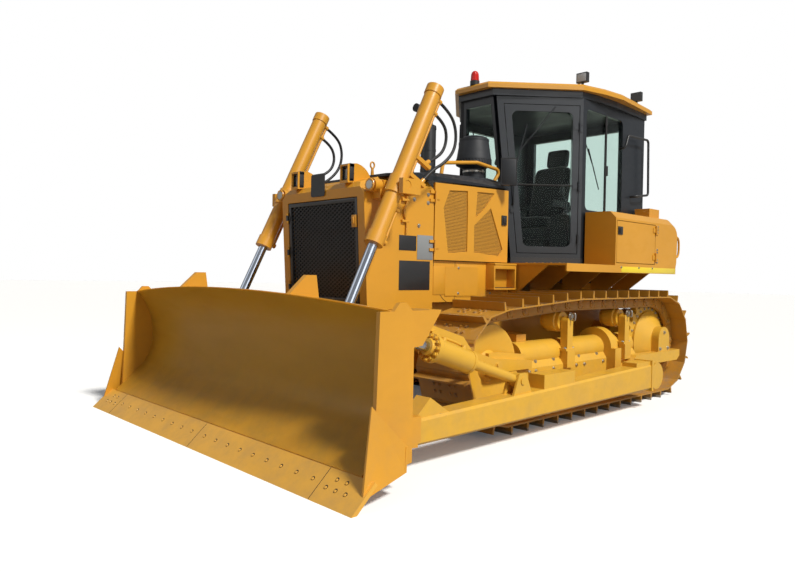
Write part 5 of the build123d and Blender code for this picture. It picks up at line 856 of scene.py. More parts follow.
def make_edge_bolts(count):
    """Bolt heads along the cutting edge with dark rings of painted shade for their recesses, and the seams
    between its parts.
    """
    first, shortfall, row_share = 0.09, 0.16, 0.55
    end_bits = ((1.47, 0.74), (1.55, 0.74), (1.43, 0.46), (1.51, 0.46), (1.59, 0.46))
    row = [(first + (EDGE_HALF - shortfall) * index / (count - 1), row_share) for index in range(count)]
    along = Vector((0, EDGE_TOP[0] - EDGE_TIP[0], EDGE_TOP[1] - EDGE_TIP[1]))
    rise, out = along.normalized(), Vector((0, -along.z, along.y)).normalized()
    foot = Vector((0, *EDGE_TIP))
    sunk, seam_half, seam_inset = 0.003, 0.0018, 0.004
    heads, recess_shades_and_seams = bmesh.new(), bmesh.new()
    for sign in (-1, 1):
        for x, share in (*row, *end_bits):
            place = foot + Vector((sign * x, 0, 0)) + along * share
            # Each thin dark ring round a head is painted shade for the bolt's recess.
            add_drum(recess_shades_and_seams, place, out, radius=0.0130, depth=0.0012, segments=16)
            add_drum(heads, place - rise * sunk, out, radius=0.0095, depth=0.0050, top=0.0070, segments=12)
    for x in (-EDGE_HALF, 0.0, EDGE_HALF):
        turn = frame_of(Vector(X_WAY), rise, out, foot + Vector((x, 0, 0)))
        add_box(recess_shades_and_seams, (-seam_half, seam_inset, -0.001), (seam_half, along.length - seam_inset, 0.0008),
                bevel=0, turn=turn)
    piece("edge_bolts", heads, "blade_group", "edge_steel")
    piece("edge_recess_shades_and_seams", recess_shades_and_seams, "blade_group", "dark_bolt")


def make_body_bolts():
    """Bolts on both sides of the body and running gear, and the carrier rollers' guard bars."""
    ring_x, ring_radius = 0.9703, 0.343
    beam_x, beam_z = 1.080, 0.424
    slope_x, slope_z, slope_out = 1.050, 0.495, (0.83, 0, 0.55)
    carriers, carrier_x, carrier_z = (TOP_RUN_END, 1.310), 1.104, 0.852
    guard_bar = ((1.112, 0.875), (1.150, 0.880), (1.150, 0.815), (1.112, 0.820))
    seat_x, seat_z, seat_spread = 1.092, 0.582, 0.058
    # x of the face, radius, height, and the places as (y, z)
    rows = (
        (1.155, 0.013, 0.014, ((SPROCKET[0], 0.640), (1.900, 0.480), (2.068, 0.480))),
        (beam_x, 0.011, 0.012, [(y, beam_z) for y in (-0.22, -0.13, 0.12, 0.47, 0.60, 0.92)]),
        (PANEL_SKIN, 0.008, 0.008, [(y, z) for y in (-0.44, -0.02) for z in (1.03, 1.24)]),
        (FENDER_SKIN, 0.008, 0.008, [(y, 1.283) for y in (1.16, 1.50, 1.78)]),
        (GUARD_SIDE, 0.011, 0.010, ((-0.830, 1.810), (-0.830, 1.745), (-0.985, 1.760), (-0.930, 1.560))),
    )
    bm = bmesh.new()
    for sign in (-1, 1):
        side = (sign, 0, 0)
        for y, z in ring_of(SPROCKET_TEETH, ring_radius):
            add_bolt(bm, (sign * ring_x, SPROCKET[0] + y, SPROCKET[1] + z), side, radius=0.010, height=0.012)
        for x, radius, height, places in rows:
            for y, z in places:
                add_bolt(bm, (sign * x, y, z), side, radius, height)
        for y in (-0.10, 0.16, 0.55, 0.85):
            add_bolt(bm, (sign * slope_x, y, slope_z), (sign * slope_out[0], *slope_out[1:]),
                     radius=0.011, height=0.012)
        for y in carriers:
            add_bolt(bm, (sign * carrier_x, y, carrier_z), side, radius=0.022, height=0.018)
            add_pipe(bm, curved([(sign * x, y, z) for x, z in guard_bar]), radius=0.007)
            for way in (-1, 1):
                add_bolt(bm, (sign * seat_x, y + way * seat_spread, seat_z), UP, radius=0.010, height=0.010)
    piece("body_bolts", bm, "tractor", "bright")


class DOZER_OT_bolts(Maker):
    """Makes the bolts of the blade's edge, hubs, track frames, covers and boxes, and the box's handle"""

    bl_idname = "dozer.bolts"
    bl_label = "Bolts"

    def make(self, scene):
        make_edge_bolts(scene.dozer_sizes.edge_bolts)
        make_body_bolts()
        seam = bmesh.new()
        for z in (1.345, 1.37, 1.44, 1.47, 1.64, 1.67, 1.70):
            add_bolt(seam, (FENDER_SKIN + 0.0002, 1.878, z), X_WAY, radius=0.009, height=0.008)
        piece("box_seam_bolts", seam, "tractor", "bright")
        handle, handle_x = bmesh.new(), 1.06
        bend = ((2.392, 1.630), (2.460, 1.625), (2.490, 1.580), (2.490, 1.460), (2.460, 1.415),
                (2.392, 1.410))
        add_pipe(handle, curved([(handle_x, y, z) for y, z in bend]), radius=0.011)
        piece("box_handle", handle, "tractor", "yellow_paint")


def add_prism(bm, front, back):
    """A block between two outlines with the same number of corners."""
    front, back = [bm.verts.new(v) for v in front], [bm.verts.new(v) for v in back]
    bm.faces.new(front)
    bm.faces.new(back[::-1])
    for index in range(len(front)):
        after = (index + 1) % len(front)
        bm.faces.new((front[index], back[index], back[after], front[after]))


def make_gussets():
    """The plates from the blade's end plates down to the end bits, and the walls behind them."""
    thick, top_inner = 0.014, 1.640
    plate = ((1.650, -2.385, 0.506), (1.688, -2.160, 0.270), (1.698, -2.175, 0.140), (1.714, -2.490, 0.060))
    wall = ((1.642, -2.160, 0.285), (1.690, -2.160, 0.272), (1.698, -2.175, 0.140), (1.642, -2.175, 0.130))
    bm = bmesh.new()
    for sign in (-1, 1):
        outer = [Vector((sign * x, y, z)) for x, y, z in plate]
        inner = [corner - Vector((sign * thick, 0, 0)) for corner in outer]
        inner[0].x = sign * top_inner
        add_prism(bm, outer, inner)
        rear = [Vector((sign * x, y, z)) for x, y, z in wall]
        add_prism(bm, rear, [corner - Vector((0, thick, 0)) for corner in rear])
    piece("end_gussets", bm, "blade_group", "blade_yellow")


class DOZER_OT_mouldboard(Maker):
    """Makes the blade with a clean face, and the gussets from its end plates to the end bits"""

    bl_idname = "dozer.mouldboard"
    bl_label = "Mouldboard"

    def make(self, scene):
        above_edge, ahead, tuck = EDGE_TOP[1] + 0.02, 0.007, 0.012
        node = frame["nodes"]["blade"]
        bm = bmesh.new()
        bm.from_mesh(node.data)
        bm.transform(node.matrix_world)
        bmesh.ops.remove_doubles(bm, verts=bm.verts, dist=1e-5)
        for vert in bm.verts:
            if vert.co.z <= above_edge or abs(vert.co.x) >= FACE_HALF:
                continue
            face = face_depth(vert.co.z)
            if vert.co.y < face - ahead:
                vert.co.y = face + tuck
        piece("mouldboard", bm, "blade_group", "blade_yellow", smooth=0.5, replaces=("blade",))
        skin = bmesh.new()
        columns, rows, wide = 32, 22, 1.6166
        foot, crest_side, crest_rise, crest_half, under = 0.146, 0.986, 0.080, 1.65, 0.0004
        skin_off, skin_thick = 0.0064, 0.0058
        grid = []
        for column in range(columns + 1):
            x = wide * (2 * column / columns - 1)
            crest = crest_side + crest_rise * (1 - (x / crest_half) ** 2) - under
            heights = [foot + (crest - foot) * row / rows for row in range(rows + 1)]
            grid.append([skin.verts.new((x, face_depth(z) - skin_off, z)) for z in heights])
        for near, far in zip(grid, grid[1:]):
            for row in range(rows):
                skin.faces.new((near[row], far[row], far[row + 1], near[row + 1]))
        bmesh.ops.solidify(skin, geom=list(skin.faces), thickness=skin_thick)
        piece("mouldboard_face", skin, "blade_group", "face_paint")
        make_gussets()


class DOZER_OT_chains(Maker):
    """Makes the links' outer faces, the pins, the shoe bolts and the shoe lips of both tracks"""

    bl_idname = "dozer.chains"
    bl_label = "Chains"

    def make(self, scene):
        lip_low, lip_high = (-SHOE_HALF + 0.002, -0.008, -0.001), (SHOE_HALF - 0.002, 0.014, 0.005)
        plate_long, plate_low, plate_high, plate_sunk, plate_out = 0.064, -0.036, 0.034, 0.002, 0.007
        boss = {"radius": 0.037, "top": 0.035, "segments": 14}
        pin = {"radius": 0.018, "top": 0.015, "segments": 10}
        pin_out, pin_depth, pin_end_depth, bush_end_depth = 0.009, 0.006, 0.010, 0.006
        bolt_places = [(x, y) for x in (0.050, 0.102) for y in (0.000, 0.058)]
        foot = Vector((0, -PITCH / 2, SHOE_OUT))
        frames = link_frames()
        for side, sign in SIDES:
            links, bolts = bmesh.new(), bmesh.new()
            for link in frames:
                turn = Matrix.Translation((sign * CHAIN_X, 0, 0)) @ link
                spin = turn.to_3x3()
                add_box(links, foot + Vector(lip_low), foot + Vector(lip_high), bevel=0.002, turn=turn)
                for rail in (-1, 1):
                    face = rail * LINK_FACE
                    low, high = sorted((face - rail * plate_sunk, face + rail * plate_out))
                    add_box(links, (low, -plate_long, plate_low), (high, plate_long, plate_high), bevel=0.004,
                            turn=turn)
                    out = spin @ Vector((rail, 0, 0))
                    for end, deep in ((-1, pin_end_depth), (1, bush_end_depth)):
                        add_drum(links, turn @ Vector((face, end * PITCH / 2, 0)), out, depth=deep, **boss)
                    add_drum(links, turn @ Vector((face + rail * pin_out, -PITCH / 2, 0)), out,
                             depth=pin_depth, **pin)
                    for x, y in bolt_places:
                        add_bolt(bolts, turn @ Vector((rail * x, y, SHOE_OUT)), spin @ Vector(UP),
                                 radius=0.011, height=0.011)
            piece(side + "_links", links, "tractor", "track_paint")
            piece(side + "_shoe_bolts", bolts, "tractor", "track_paint")


def make_pivot_caps():
    """The rings and caps in front of the lift cylinders' pivots."""
    pivot_x, pivot_z, ring_y, cap_y = 0.567, 1.818, -1.4825, -1.4900
    caps, discs = bmesh.new(), bmesh.new()
    for sign in (-1, 1):
        x = sign * pivot_x
        add_drum(caps, (x, ring_y, pivot_z), FORWARD, radius=0.047, depth=0.008, top=0.044, segments=32)
        add_drum(discs, (x, cap_y, pivot_z), FORWARD, radius=0.034, depth=0.004, top=0.030, segments=28)
        for aside, above in ring_of(6, 0.039):
            add_bolt(caps, (x + aside, cap_y, pivot_z + above), FORWARD, radius=0.0045, height=0.005)
    piece("pivot_rings", caps, "tractor", "yellow_paint")
    piece("pivot_caps", discs, "tractor", "bright")


def make_nose_lines():
    """The steel lines down both sides of the nose, with their clamps."""
    line = ((0.560, -1.235, 1.790), (0.534, -1.180, 1.780), (0.530, -1.100, 1.820), (0.530, -1.060, 1.740),
            (0.530, -1.110, 1.660), (0.530, -1.070, 1.570), (0.530, -1.075, 1.500), (0.515, -1.075, 1.480))
    clamp_front, clamp_rear, clamp_out, clamp_half = -1.125, -1.050, 0.538, 0.010
    bm = bmesh.new()
    for sign in (-1, 1):
        add_pipe(bm, curved([(sign * x, y, z) for x, y, z in line]), radius=0.008)
        for z in (1.745, 1.585):
            add_side_box(bm, sign, (GUARD_SIDE + 0.0005, clamp_front, z - clamp_half),
                         (clamp_out, clamp_rear, z + clamp_half), bevel=0.003)
    piece("nose_lines", bm, "tractor", "yellow_paint")


class DOZER_OT_cylinders(Maker):
    """Makes the tilt cylinder's bolted cap and rod, the lift cylinders' pivot caps and the nose's lines"""

    bl_idname = "dozer.cylinders"
    bl_label = "Cylinders"

    def make(self, scene):
        way, foot, across = Vector(BRACE_WAY).normalized(), Vector(BRACE_REAR), Vector(X_WAY)
        up = across.cross(way)
        cap, rod = bmesh.new(), bmesh.new()
        band = {"radius": 0.079, "segments": 32}
        cap_end, cap_face = 0.9535, 0.954
        add_drum(cap, foot + way * cap_end, way, radius=0.060, depth=0.030, top=0.052, segments=28)
        add_drum(cap, foot + way * 0.562, way, depth=0.022, **band)
        add_drum(cap, foot + way * 0.898, way, depth=0.023, **band)
        for x, z in ring_of(12, 0.076):
            add_bolt(cap, foot + way * cap_face + across * x + up * z, way, radius=0.0105, height=0.018)
        ports = (0.640, 0.840)
        for place in ports:
            add_drum(cap, foot + way * place - up * 0.070, -up, radius=0.018, depth=0.022, top=0.016,
                     segments=16)
        port_end, line_drop, line_side = 0.088, 0.094, 0.020
        line = ((ports[1], port_end), (0.800, line_drop), (0.680, line_drop), (ports[0], port_end))
        add_pipe(cap, curved([foot + way * t - up * drop - across * line_side for t, drop in line]),
                 radius=0.009)
        add_bolt(cap, (COVER_FACE, -1.636, 0.852), X_WAY, radius=0.020, height=0.018)
        add_bolt(cap, (COVER_FACE, -0.880, 0.555), X_WAY, radius=0.014, height=0.012)
        piece("tilt_fittings", cap, "blade_group", "frame_yellow")
        add_pipe(rod, (foot + way * 0.970, foot + way * 1.238), radius=0.0328, segments=28)
        piece("tilt_rod_chrome", rod, "blade_group", "chrome_rod")
        make_pivot_caps()
        make_nose_lines()


class DOZER_OT_nose(Maker):
    """Makes the nose's blank plate, the lifting eye and the seams of the side panels"""

    bl_idname = "dozer.nose"
    bl_label = "Nose"

    def make(self, scene):
        plate, eye, seam = bmesh.new(), bmesh.new(), bmesh.new()
        half, low, high = 0.086, 1.768, 1.944
        corners = rounded(((-half, low), (half, low), (half, high), (-half, high)), radius=0.020)
        add_outline(plate, (-0.020, -1.5040, 0), X_WAY, UP, corners, depth=0.005)
        add_box(plate, (-0.055, -1.5050, 1.800), (0.015, -1.485, 1.900), bevel=0.003)
        piece("blank_emblem", plate, "tractor", "black_metal")
        eye_x, eye_y, shank_foot, loop_middle = 0.300, -1.229, 1.900, 2.014
        wide, tall, parts = 0.020, 0.024, 14
        turns = [math.tau * index / parts for index in range(1, parts + 1)]
        loop = [(eye_x, eye_y + wide * math.sin(turn), loop_middle - tall * math.cos(turn)) for turn in turns]
        add_pipe(eye, loop + loop[:1], radius=0.0065, segments=8)
        add_drum(eye, (eye_x, eye_y, shank_foot), UP, radius=0.016, depth=0.092, top=0.010, segments=16)
        piece("lifting_eye", eye, "tractor", "yellow_paint")
        panel, post = 0.5025, -0.480
        bend = ((-0.745, 1.330), (-0.735, 1.230), (-0.715, 1.130), (-0.675, 1.040), (-0.620, 0.985),
                (-0.578, 0.962))
        for sign in (-1, 1):
            add_pipe(seam, [(sign * panel, y, z) for y, z in bend], radius=0.0020, segments=6)
            add_pipe(seam, [(sign * panel, post, z) for z in (0.966, 1.290)], radius=0.0015, segments=6)
        piece("panel_seams", seam, "tractor", "rubber")


class DOZER_OT_steps(Maker):
    """Makes the step boxes under the cab doors and the painted highlights along the fenders' flanges"""

    bl_idname = "dozer.steps"
    bl_label = "Steps"

    def make(self, scene):
        walls, strips, tread = bmesh.new(), bmesh.new(), bmesh.new()
        skin, front, rear, floor, roof = 0.4990, -0.079, 0.232, 1.060, 1.291
        floor_top, roof_foot, cheek_out, lip_out = 1.072, 1.277, 0.598, 0.600
        panels = (
            ((skin, front, 1.275), (0.605, rear, roof)),
            ((skin, front, floor), (lip_out, rear, 1.074)),
            ((skin, front, floor_top), (cheek_out, -0.062, roof_foot)),
            ((skin, 0.216, floor_top), (cheek_out, rear, roof_foot)),
            ((skin, -0.064, floor_top), (0.508, 0.218, roof_foot)),
            ((0.588, -0.064, 1.240), (lip_out, 0.218, 1.276)),
        )
        tread_first, tread_wide, tread_pitch, treads = 0.515, 0.010, 0.030, 3
        for sign in (-1, 1):
            for low, high in panels:
                add_side_box(walls, sign, low, high, bevel=0.003)
            for row in range(treads):
                x = tread_first + tread_pitch * row
                add_side_box(tread, sign, (x, -0.055, 1.0735), (x + tread_wide, 0.208, 1.0800), bevel=0.001)
            # Painted highlight: a brighter, yellower strip along each fender's flange.
            add_side_box(strips, sign, (FENDER_SKIN + 0.0003, 1.160, 1.2360),
                         (FENDER_SKIN + 0.0016, 2.300, 1.2900),
                         bevel=0.0005)
        piece("step_boxes", walls, "tractor", "yellow_paint")
        piece("step_treads", tread, "tractor", "black_metal")
        piece("fender_highlight_strips", strips, "tractor", "strip_yellow")


class DOZER_OT_stacks(Maker):
    """Makes the exhaust's clamps, a dark disc in its mouth for the pipe's sooty inside and painted shade, and
    the pre-cleaner's lid and louvres
    """

    bl_idname = "dozer.stacks"
    bl_label = "Stacks"

    def make(self, scene):
        pipe, mouth, cleaner = bmesh.new(), bmesh.new(), bmesh.new()
        for z in (2.075, 2.250, 2.440):
            add_drum(pipe, (*EXHAUST, z), UP, radius=0.0685, depth=0.020, segments=32)
        add_drum(pipe, (*EXHAUST, 2.4705), UP, radius=0.064, depth=0.012, top=0.046, segments=32)
        add_box(pipe, (0.183, -0.440, 2.070), (0.200, -0.420, 2.100), bevel=0.003)
        piece("exhaust_clamps", pipe, "tractor", "black_metal")
        # The thin dark disc in the mouth stands for soot and painted shade inside the pipe.
        mouth_out = (0, -0.99, 0.12)
        add_drum(mouth, (EXHAUST[0], -0.5945, 2.6050), mouth_out, radius=0.030, depth=0.0015, segments=24)
        piece("exhaust_mouth_shade", mouth, "tractor", "rubber")
        for z, radius, depth, top in (
            (0.362, 0.1365, 0.018, 0.1350),
            (0.388, 0.112, 0.014, 0.096),
            (0.186, 0.1635, 0.010, 0.1625),
        ):
            add_drum(cleaner, (*PRECLEANER, STACK_SEAT + z), UP, radius, depth, top, segments=48)
        seat = Matrix.Translation((*PRECLEANER, STACK_SEAT))
        louvres, inner, outer, half, low, high = 36, 0.155, 0.1635, 0.004, 0.143, 0.184
        for index in range(louvres):
            turn = seat @ Matrix.Rotation(math.tau * index / louvres, 4, "Z")
            add_box(cleaner, (inner, -half, low), (outer, half, high), bevel=0.0015, turn=turn)
        for z in (0.018, 0.060):
            add_drum(cleaner, (*PRECLEANER, STACK_SEAT + z), UP, radius=0.0985, depth=0.014, segments=40)
        piece("precleaner_details", cleaner, "tractor", "black_plastic")


def cab_reach(z):
    """Width of the slanting cab door at a height."""
    low, top = [(Vector(corner) - Vector(CAB_PILLAR)).length for corner in (CAB_FRONT_LOW, CAB_FRONT_TOP)]
    return low + (top - low) * (z - CAB_FLOOR) / (CAB_HEAD - CAB_FLOOR)


def add_wall_seal(bm, foot, way, outward, corners):
    """A seal on a window in an upright wall, its corners given along the wall and up."""
    facing = 1 if way.cross(Vector(UP)).dot(outward) > 0 else -1
    outline = [(along * facing, z) for along, z in corners][::facing]
    add_seal(bm, foot + outward * 0.0003, way * facing, UP, outline)


def make_door_glazing(side, sign):
    """The seal, bar, handle and wiper of a cab door."""
    flip = Matrix.Diagonal((sign, 1, 1, 1))
    pillar = Vector((*CAB_PILLAR, 0))
    top = Vector((*CAB_FRONT_TOP, 0)) - pillar
    foot, along = flip @ pillar, (flip @ top).normalized()
    outward = (flip @ Vector((-top.y, top.x, 0))).normalized()

    def at(reach, out, z):
        return foot + along * reach + outward * out + Vector(UP) * z

    low, high = CAB_FLOOR + 0.108, CAB_HEAD - 0.138
    hinge_side, lock_side = 0.099, 0.130
    bar, bar_in, bar_start, bar_stop = 2.05, -0.012, 0.10, 0.131
    seal = bmesh.new()
    add_wall_seal(seal, foot, along, outward, (
        (hinge_side, low), (cab_reach(low) - lock_side, low), (cab_reach(high) - lock_side, high),
        (hinge_side, high)))
    add_pipe(seal, (at(bar_start, bar_in, bar), at(cab_reach(bar) - bar_stop, bar_in, bar)), radius=0.008)
    piece(side + "_door_seal", seal, side + "_cab_door_group", "rubber")
    grip, wiper = cab_reach(1.98) - 0.075, cab_reach(2.7) - 0.28
    handle = ((0.002, 1.86), (0.045, 1.86), (0.045, 2.10), (0.002, 2.10))
    trim = bmesh.new()
    add_pipe(trim, curved([at(grip, out, z) for out, z in handle]), radius=0.009)
    add_drum(trim, at(grip + 0.001, 0, 1.80), outward, radius=0.022, depth=0.014)
    add_pipe(trim, (at(0.27, 0.006, 2.79), at(wiper + 0.08, 0.010, 2.35)), radius=0.006)
    add_pipe(trim, (at(wiper, -0.008, 2.62), at(wiper + 0.13, -0.008, 2.10)), radius=0.006)
    piece(side + "_door_trim", trim, side + "_cab_door_group", "black_plastic")


def make_quarter_glazing(side, sign):
    """The seal, split bar and latch of a rear quarter window."""
    flip = Matrix.Diagonal((sign, 1, 1, 1))
    flank = Vector((*CAB_REAR, 0)) - Vector((*CAB_PILLAR, 0))
    foot, way = flip @ Vector((*CAB_PILLAR, 0)), (flip @ flank).normalized()
    front, rear, split_at = 0.064, flank.length - 0.472, 0.448
    trim = bmesh.new()
    add_wall_seal(trim, foot, way, Vector((sign, 0, 0)), (
        (front, WINDOW_LOW), (rear, WINDOW_LOW), (rear, WINDOW_HIGH), (front, WINDOW_HIGH)))
    split = foot + way * split_at
    add_box(trim, split + Vector((-0.019, -0.014, 1.835)), split + Vector((-0.004, 0.014, 2.785)),
            bevel=0.003)
    add_box(trim, split + Vector((-0.022, 0.016, 2.20)), split + Vector((-0.008, 0.052, 2.30)), bevel=0.004)
    piece(side + "_quarter_trim", trim, "tractor", "rubber")


def make_mirror(side, sign):
    """A rear-view mirror: its shell and its glass."""
    middle = Vector((sign * 0.610, 0.080, 2.090))
    across, behind = Vector((sign * 0.8, 0.6, 0)), Vector((-sign * 0.6, 0.8, 0))
    turn = frame_of(across, behind, Vector(UP), middle)
    glass, shell = bmesh.new(), bmesh.new()
    add_box(glass, (-0.058, 0.0265, -0.104), (0.058, 0.0290, 0.104), bevel=0.002, turn=turn)
    add_box(shell, (-0.067, -0.027, -0.114), (0.067, 0.0270, 0.114), bevel=0.017, turn=turn)
    piece(side + "_mirror_shell", shell, "tractor", "black_plastic")
    piece(side + "_mirror_glass", glass, "tractor", "mirror")


def make_front_glazing():
    """The seal and wiper of the cab's front window."""
    lean = Vector((0, CAB_FRONT_TOP[1] - CAB_FRONT_LOW[1], CAB_HEAD - CAB_FLOOR))
    height = lean.length
    lean.normalize()
    base = Vector((0, CAB_FRONT_LOW[1], CAB_FLOOR))
    post, margin, sill, head = 0.039, 0.036, 0.560, 0.070
    low_half, top_half = CAB_FRONT_LOW[0] - post, CAB_FRONT_TOP[0] - post
    outline = []
    for rise, way in ((sill, -1), (sill, 1), (height - head, 1), (height - head, -1)):
        half = low_half + (top_half - low_half) * rise / height - margin
        outline.append((way * half, rise))

    def at(rise, x, out):
        return base + lean * rise + Vector((x, -out, 0))

    bm = bmesh.new()
    add_seal(bm, at(0, 0, 0.0004), X_WAY, lean, outline, corner=0.03)
    add_drum(bm, at(0.50, 0.02, 0.003), (0, -1, -0.08), radius=0.020, depth=0.030)
    add_pipe(bm, (at(0.50, 0.02, 0.026), at(0.95, -0.06, 0.012)), radius=0.006)
    add_pipe(bm, (at(0.66, -0.045, 0.004), at(1.24, -0.075, 0.004)), radius=0.006)
    piece("front_trim", bm, "tractor", "rubber")


def make_rear_glazing():
    """The seal and wiper of the cab's rear window."""
    half, face, pivot = CAB_REAR[0] - 0.141, CAB_REAR[1], 2.835
    outline = ((-half, WINDOW_LOW), (half, WINDOW_LOW), (half, WINDOW_HIGH), (-half, WINDOW_HIGH))
    bm = bmesh.new()
    add_seal(bm, (0, face + 0.0004, 0), (-1, 0, 0), UP, outline, corner=0.012)
    add_drum(bm, (0, face + 0.001, pivot), Y_WAY, radius=0.020, depth=0.030)
    add_pipe(bm, ((0, face + 0.026, pivot), (0.16, face + 0.012, 2.42)), radius=0.006)
    add_pipe(bm, ((0.09, face + 0.006, 2.66), (0.23, face + 0.006, 2.18)), radius=0.006)
    piece("rear_trim", bm, "tractor", "rubber")


class DOZER_OT_glazing(Maker):
    """Makes window seals, wipers, handles, bars and mirrors"""

    bl_idname = "dozer.glazing"
    bl_label = "Glazing"

    def make(self, scene):
        for side, sign in SIDES:
            make_door_glazing(side, sign)
            make_quarter_glazing(side, sign)
            make_mirror(side, sign)
        make_front_glazing()
        make_rear_glazing()


def make_plates():
    """Blank plates with a rivet in each corner, on the left side of the nose."""
    seat, plate_out, rivet_seat, inset = 0.0005, 0.0028, 0.0025, 0.010
    # front, rear, low and high of each plate
    for name, finish, spots in (
        ("black_plates", "black_metal", ((-1.139, -0.955, 1.363, 1.478), (-1.134, -0.799, 1.059, 1.285))),
        ("grey_plates", "plate_grey", ((-0.944, -0.768, 1.297, 1.488),)),
    ):
        bm = bmesh.new()
        for front, rear, low, high in spots:
            add_box(bm, (GUARD_SIDE + seat, front, low), (GUARD_SIDE + plate_out, rear, high), bevel=0.0008)
            for y in (front + inset, rear - inset):
                for z in (low + inset, high - inset):
                    add_drum(bm, (GUARD_SIDE + rivet_seat, y, z), X_WAY, radius=0.004, depth=0.002, top=0.003,
                             segments=10)
        piece(name, bm, "tractor", finish)


def make_lamps():
    """Lenses of the nose's and the roof's lamps, and the nose lamps' bezels."""
    inner, outer, front, rim, lap = 0.280, 0.348, -1.504, 0.018, 0.001
    bezel_parts = (
        ((inner - rim, front, 1.862), (outer + rim, -1.468, 1.880)),
        ((inner - rim, front, 1.962), (outer + rim, -1.462, 1.990)),
        ((inner - rim, front, 1.864), (inner + lap, -1.464, 1.988)),
        ((outer - lap, front, 1.864), (outer + rim, -1.464, 1.988)),
    )
    roof_lamps = ((0.750, 1.010, -1), (0.795, 1.990, 1))
    roof_half, roof_low, roof_high, lens_near, lens_far = 0.047, 3.039, 3.113, 0.0195, 0.0255
    lens, bezel = bmesh.new(), bmesh.new()
    for sign in (-1, 1):
        add_side_box(lens, sign, (inner, -1.488, 1.878), (outer, -1.470, 1.960), bevel=0.006)
        for low, high in bezel_parts:
            add_side_box(bezel, sign, low, high, bevel=0.003)
        for x, y, way in roof_lamps:
            near, far = sorted((y + way * lens_near, y + way * lens_far))
            add_side_box(lens, sign, (x - roof_half, near, roof_low), (x + roof_half, far, roof_high),
                         bevel=0.002)
    piece("lamp_glasses", lens, "tractor", "lamp_lens")
    piece("lamp_bezels", bezel, "tractor", "black_plastic")


class DOZER_OT_fittings(Maker):
    """Makes blank plates, lamp lenses and bezels, side covers, the box latch, grips and a stack band"""

    bl_idname = "dozer.fittings"
    bl_label = "Fittings"

    def make(self, scene):
        make_plates()
        make_lamps()
        cover = bmesh.new()
        for sign in (-1, 1):
            for front, rear, low, high in ((-0.465, 0.022, 1.000, 1.268), (-0.740, -0.600, 1.020, 1.250)):
                add_side_box(cover, sign, (PANEL_SKIN - 0.004, front, low), (PANEL_SKIN, rear, high),
                             bevel=0.002)
        piece("side_covers", cover, "tractor", "yellow_paint")
        latch = bmesh.new()
        add_box(latch, (1.1105, 1.080, 1.585), (1.118, 1.165, 1.660), bevel=0.003)
        add_box(latch, (1.116, 1.098, 1.600), (1.127, 1.148, 1.645), bevel=0.004)
        piece("box_latch", latch, "box_door_group", "black_metal")
        grips = bmesh.new()
        rows, row_pitch, first_x = 5, 0.085, 0.66
        steps, step_pitch, first_y, walkway = 11, 0.066, 0.300, 1.3000
        for sign in (-1, 1):
            for row in range(rows):
                for step in range(steps):
                    place = (sign * (first_x + row_pitch * row), first_y + step_pitch * step, walkway)
                    add_drum(grips, place, UP, radius=0.010, depth=0.004, top=0.007, segments=8)
        piece("walkway_grips", grips, "tractor", "yellow_paint")
        band = bmesh.new()
        add_drum(band, (*PRECLEANER, 2.118), UP, radius=0.0995, depth=0.016, segments=32)
        add_box(band, (0.296, 0.078, 2.114), (0.312, 0.102, 2.138), bevel=0.003)
        piece("precleaner_band", band, "tractor", "bright")


class DOZER_OT_controls(Maker):
    """Makes the levers, pedals and display in the cab"""

    bl_idname = "dozer.controls"
    bl_label = "Controls"

    def make(self, scene):
        bm = bmesh.new()
        lever_x, lever_y, console = 0.465, 1.230, CAB_FLOOR + 0.452
        knob = Matrix.Diagonal((0.026, 0.030, 0.052, 1))
        pedal_x, pedal_half = 0.10, 0.045
        for sign in (-1, 1):
            base = Vector((sign * lever_x, lever_y, console))
            add_drum(bm, base, UP, radius=0.045, depth=0.050, top=0.018, segments=20)
            bend = (Vector((0, 0, 0.04)), Vector((0, -0.01, 0.12)), Vector((-sign * 0.03, -0.04, 0.20)))
            add_pipe(bm, curved([base + point for point in bend]), radius=0.012)
            place = Matrix.Translation(base + Vector((-sign * 0.03, -0.04, 0.23)))
            bmesh.ops.create_uvsphere(bm, u_segments=16, v_segments=10, radius=1.0, matrix=place @ knob)
            x = sign * pedal_x
            add_box(bm, (x - pedal_half, 0.86, CAB_FLOOR + 0.055), (x + pedal_half, 0.98, CAB_FLOOR + 0.070),
                    bevel=0.004)
            add_pipe(bm, ((x, 0.90, CAB_FLOOR + 0.060), (x, 0.82, CAB_FLOOR + 0.002)), radius=0.010)
        add_box(bm, (-0.150, 0.735, CAB_FLOOR + 0.560), (0.150, 0.775, CAB_FLOOR + 0.740), bevel=0.010)
        piece("cab_levers", bm, "tractor", "black_plastic")


def hose_route(places):
    """The points of a left hose's route in the machine's frame, to a tenth of a millimetre."""
    down = (LIFT_EYE - LIFT_PIVOT).normalized()
    behind = Vector((0, -down.z, down.y))
    line = [LIFT_PIVOT - down * up + behind * back + Vector((out, 0, 0)) for up, back, out in places]
    return [tuple(round(part, 4) for part in point) for point in line]


class DOZER_OT_hoses(Maker):
    """Makes the lift cylinders' hoses"""

    bl_idname = "dozer.hoses"
    bl_label = "Hoses"

    def make(self, scene):
        for side, sign in SIDES:
            for name, length, places in HOSES:
                route = [(sign * x, y, z) for x, y, z in hose_route(places)]
                curve = bpy.data.curves.new(side + "_" + name + "_line", "CURVE")
                curve.dimensions = "3D"
                curve.bevel_depth = scene.dozer_sizes.hose
                curve.bevel_resolution = 4
                curve.use_fill_caps = True
                spline = curve.splines.new("NURBS")
                spline.points.add(len(route) - 1)
                for point, place in zip(spline.points, route):
                    point.co = (*place, 1.0)
                spline.order_u = 3
                spline.use_endpoint_u = True
                curve.materials.append(FINISHES["hose_rubber"])
                hose = bpy.data.objects.new(side + "_" + name + "_tube", curve)
                scene.collection.objects.link(hose)
                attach(hose, side + "_barrel")
                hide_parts(side + "_" + name)


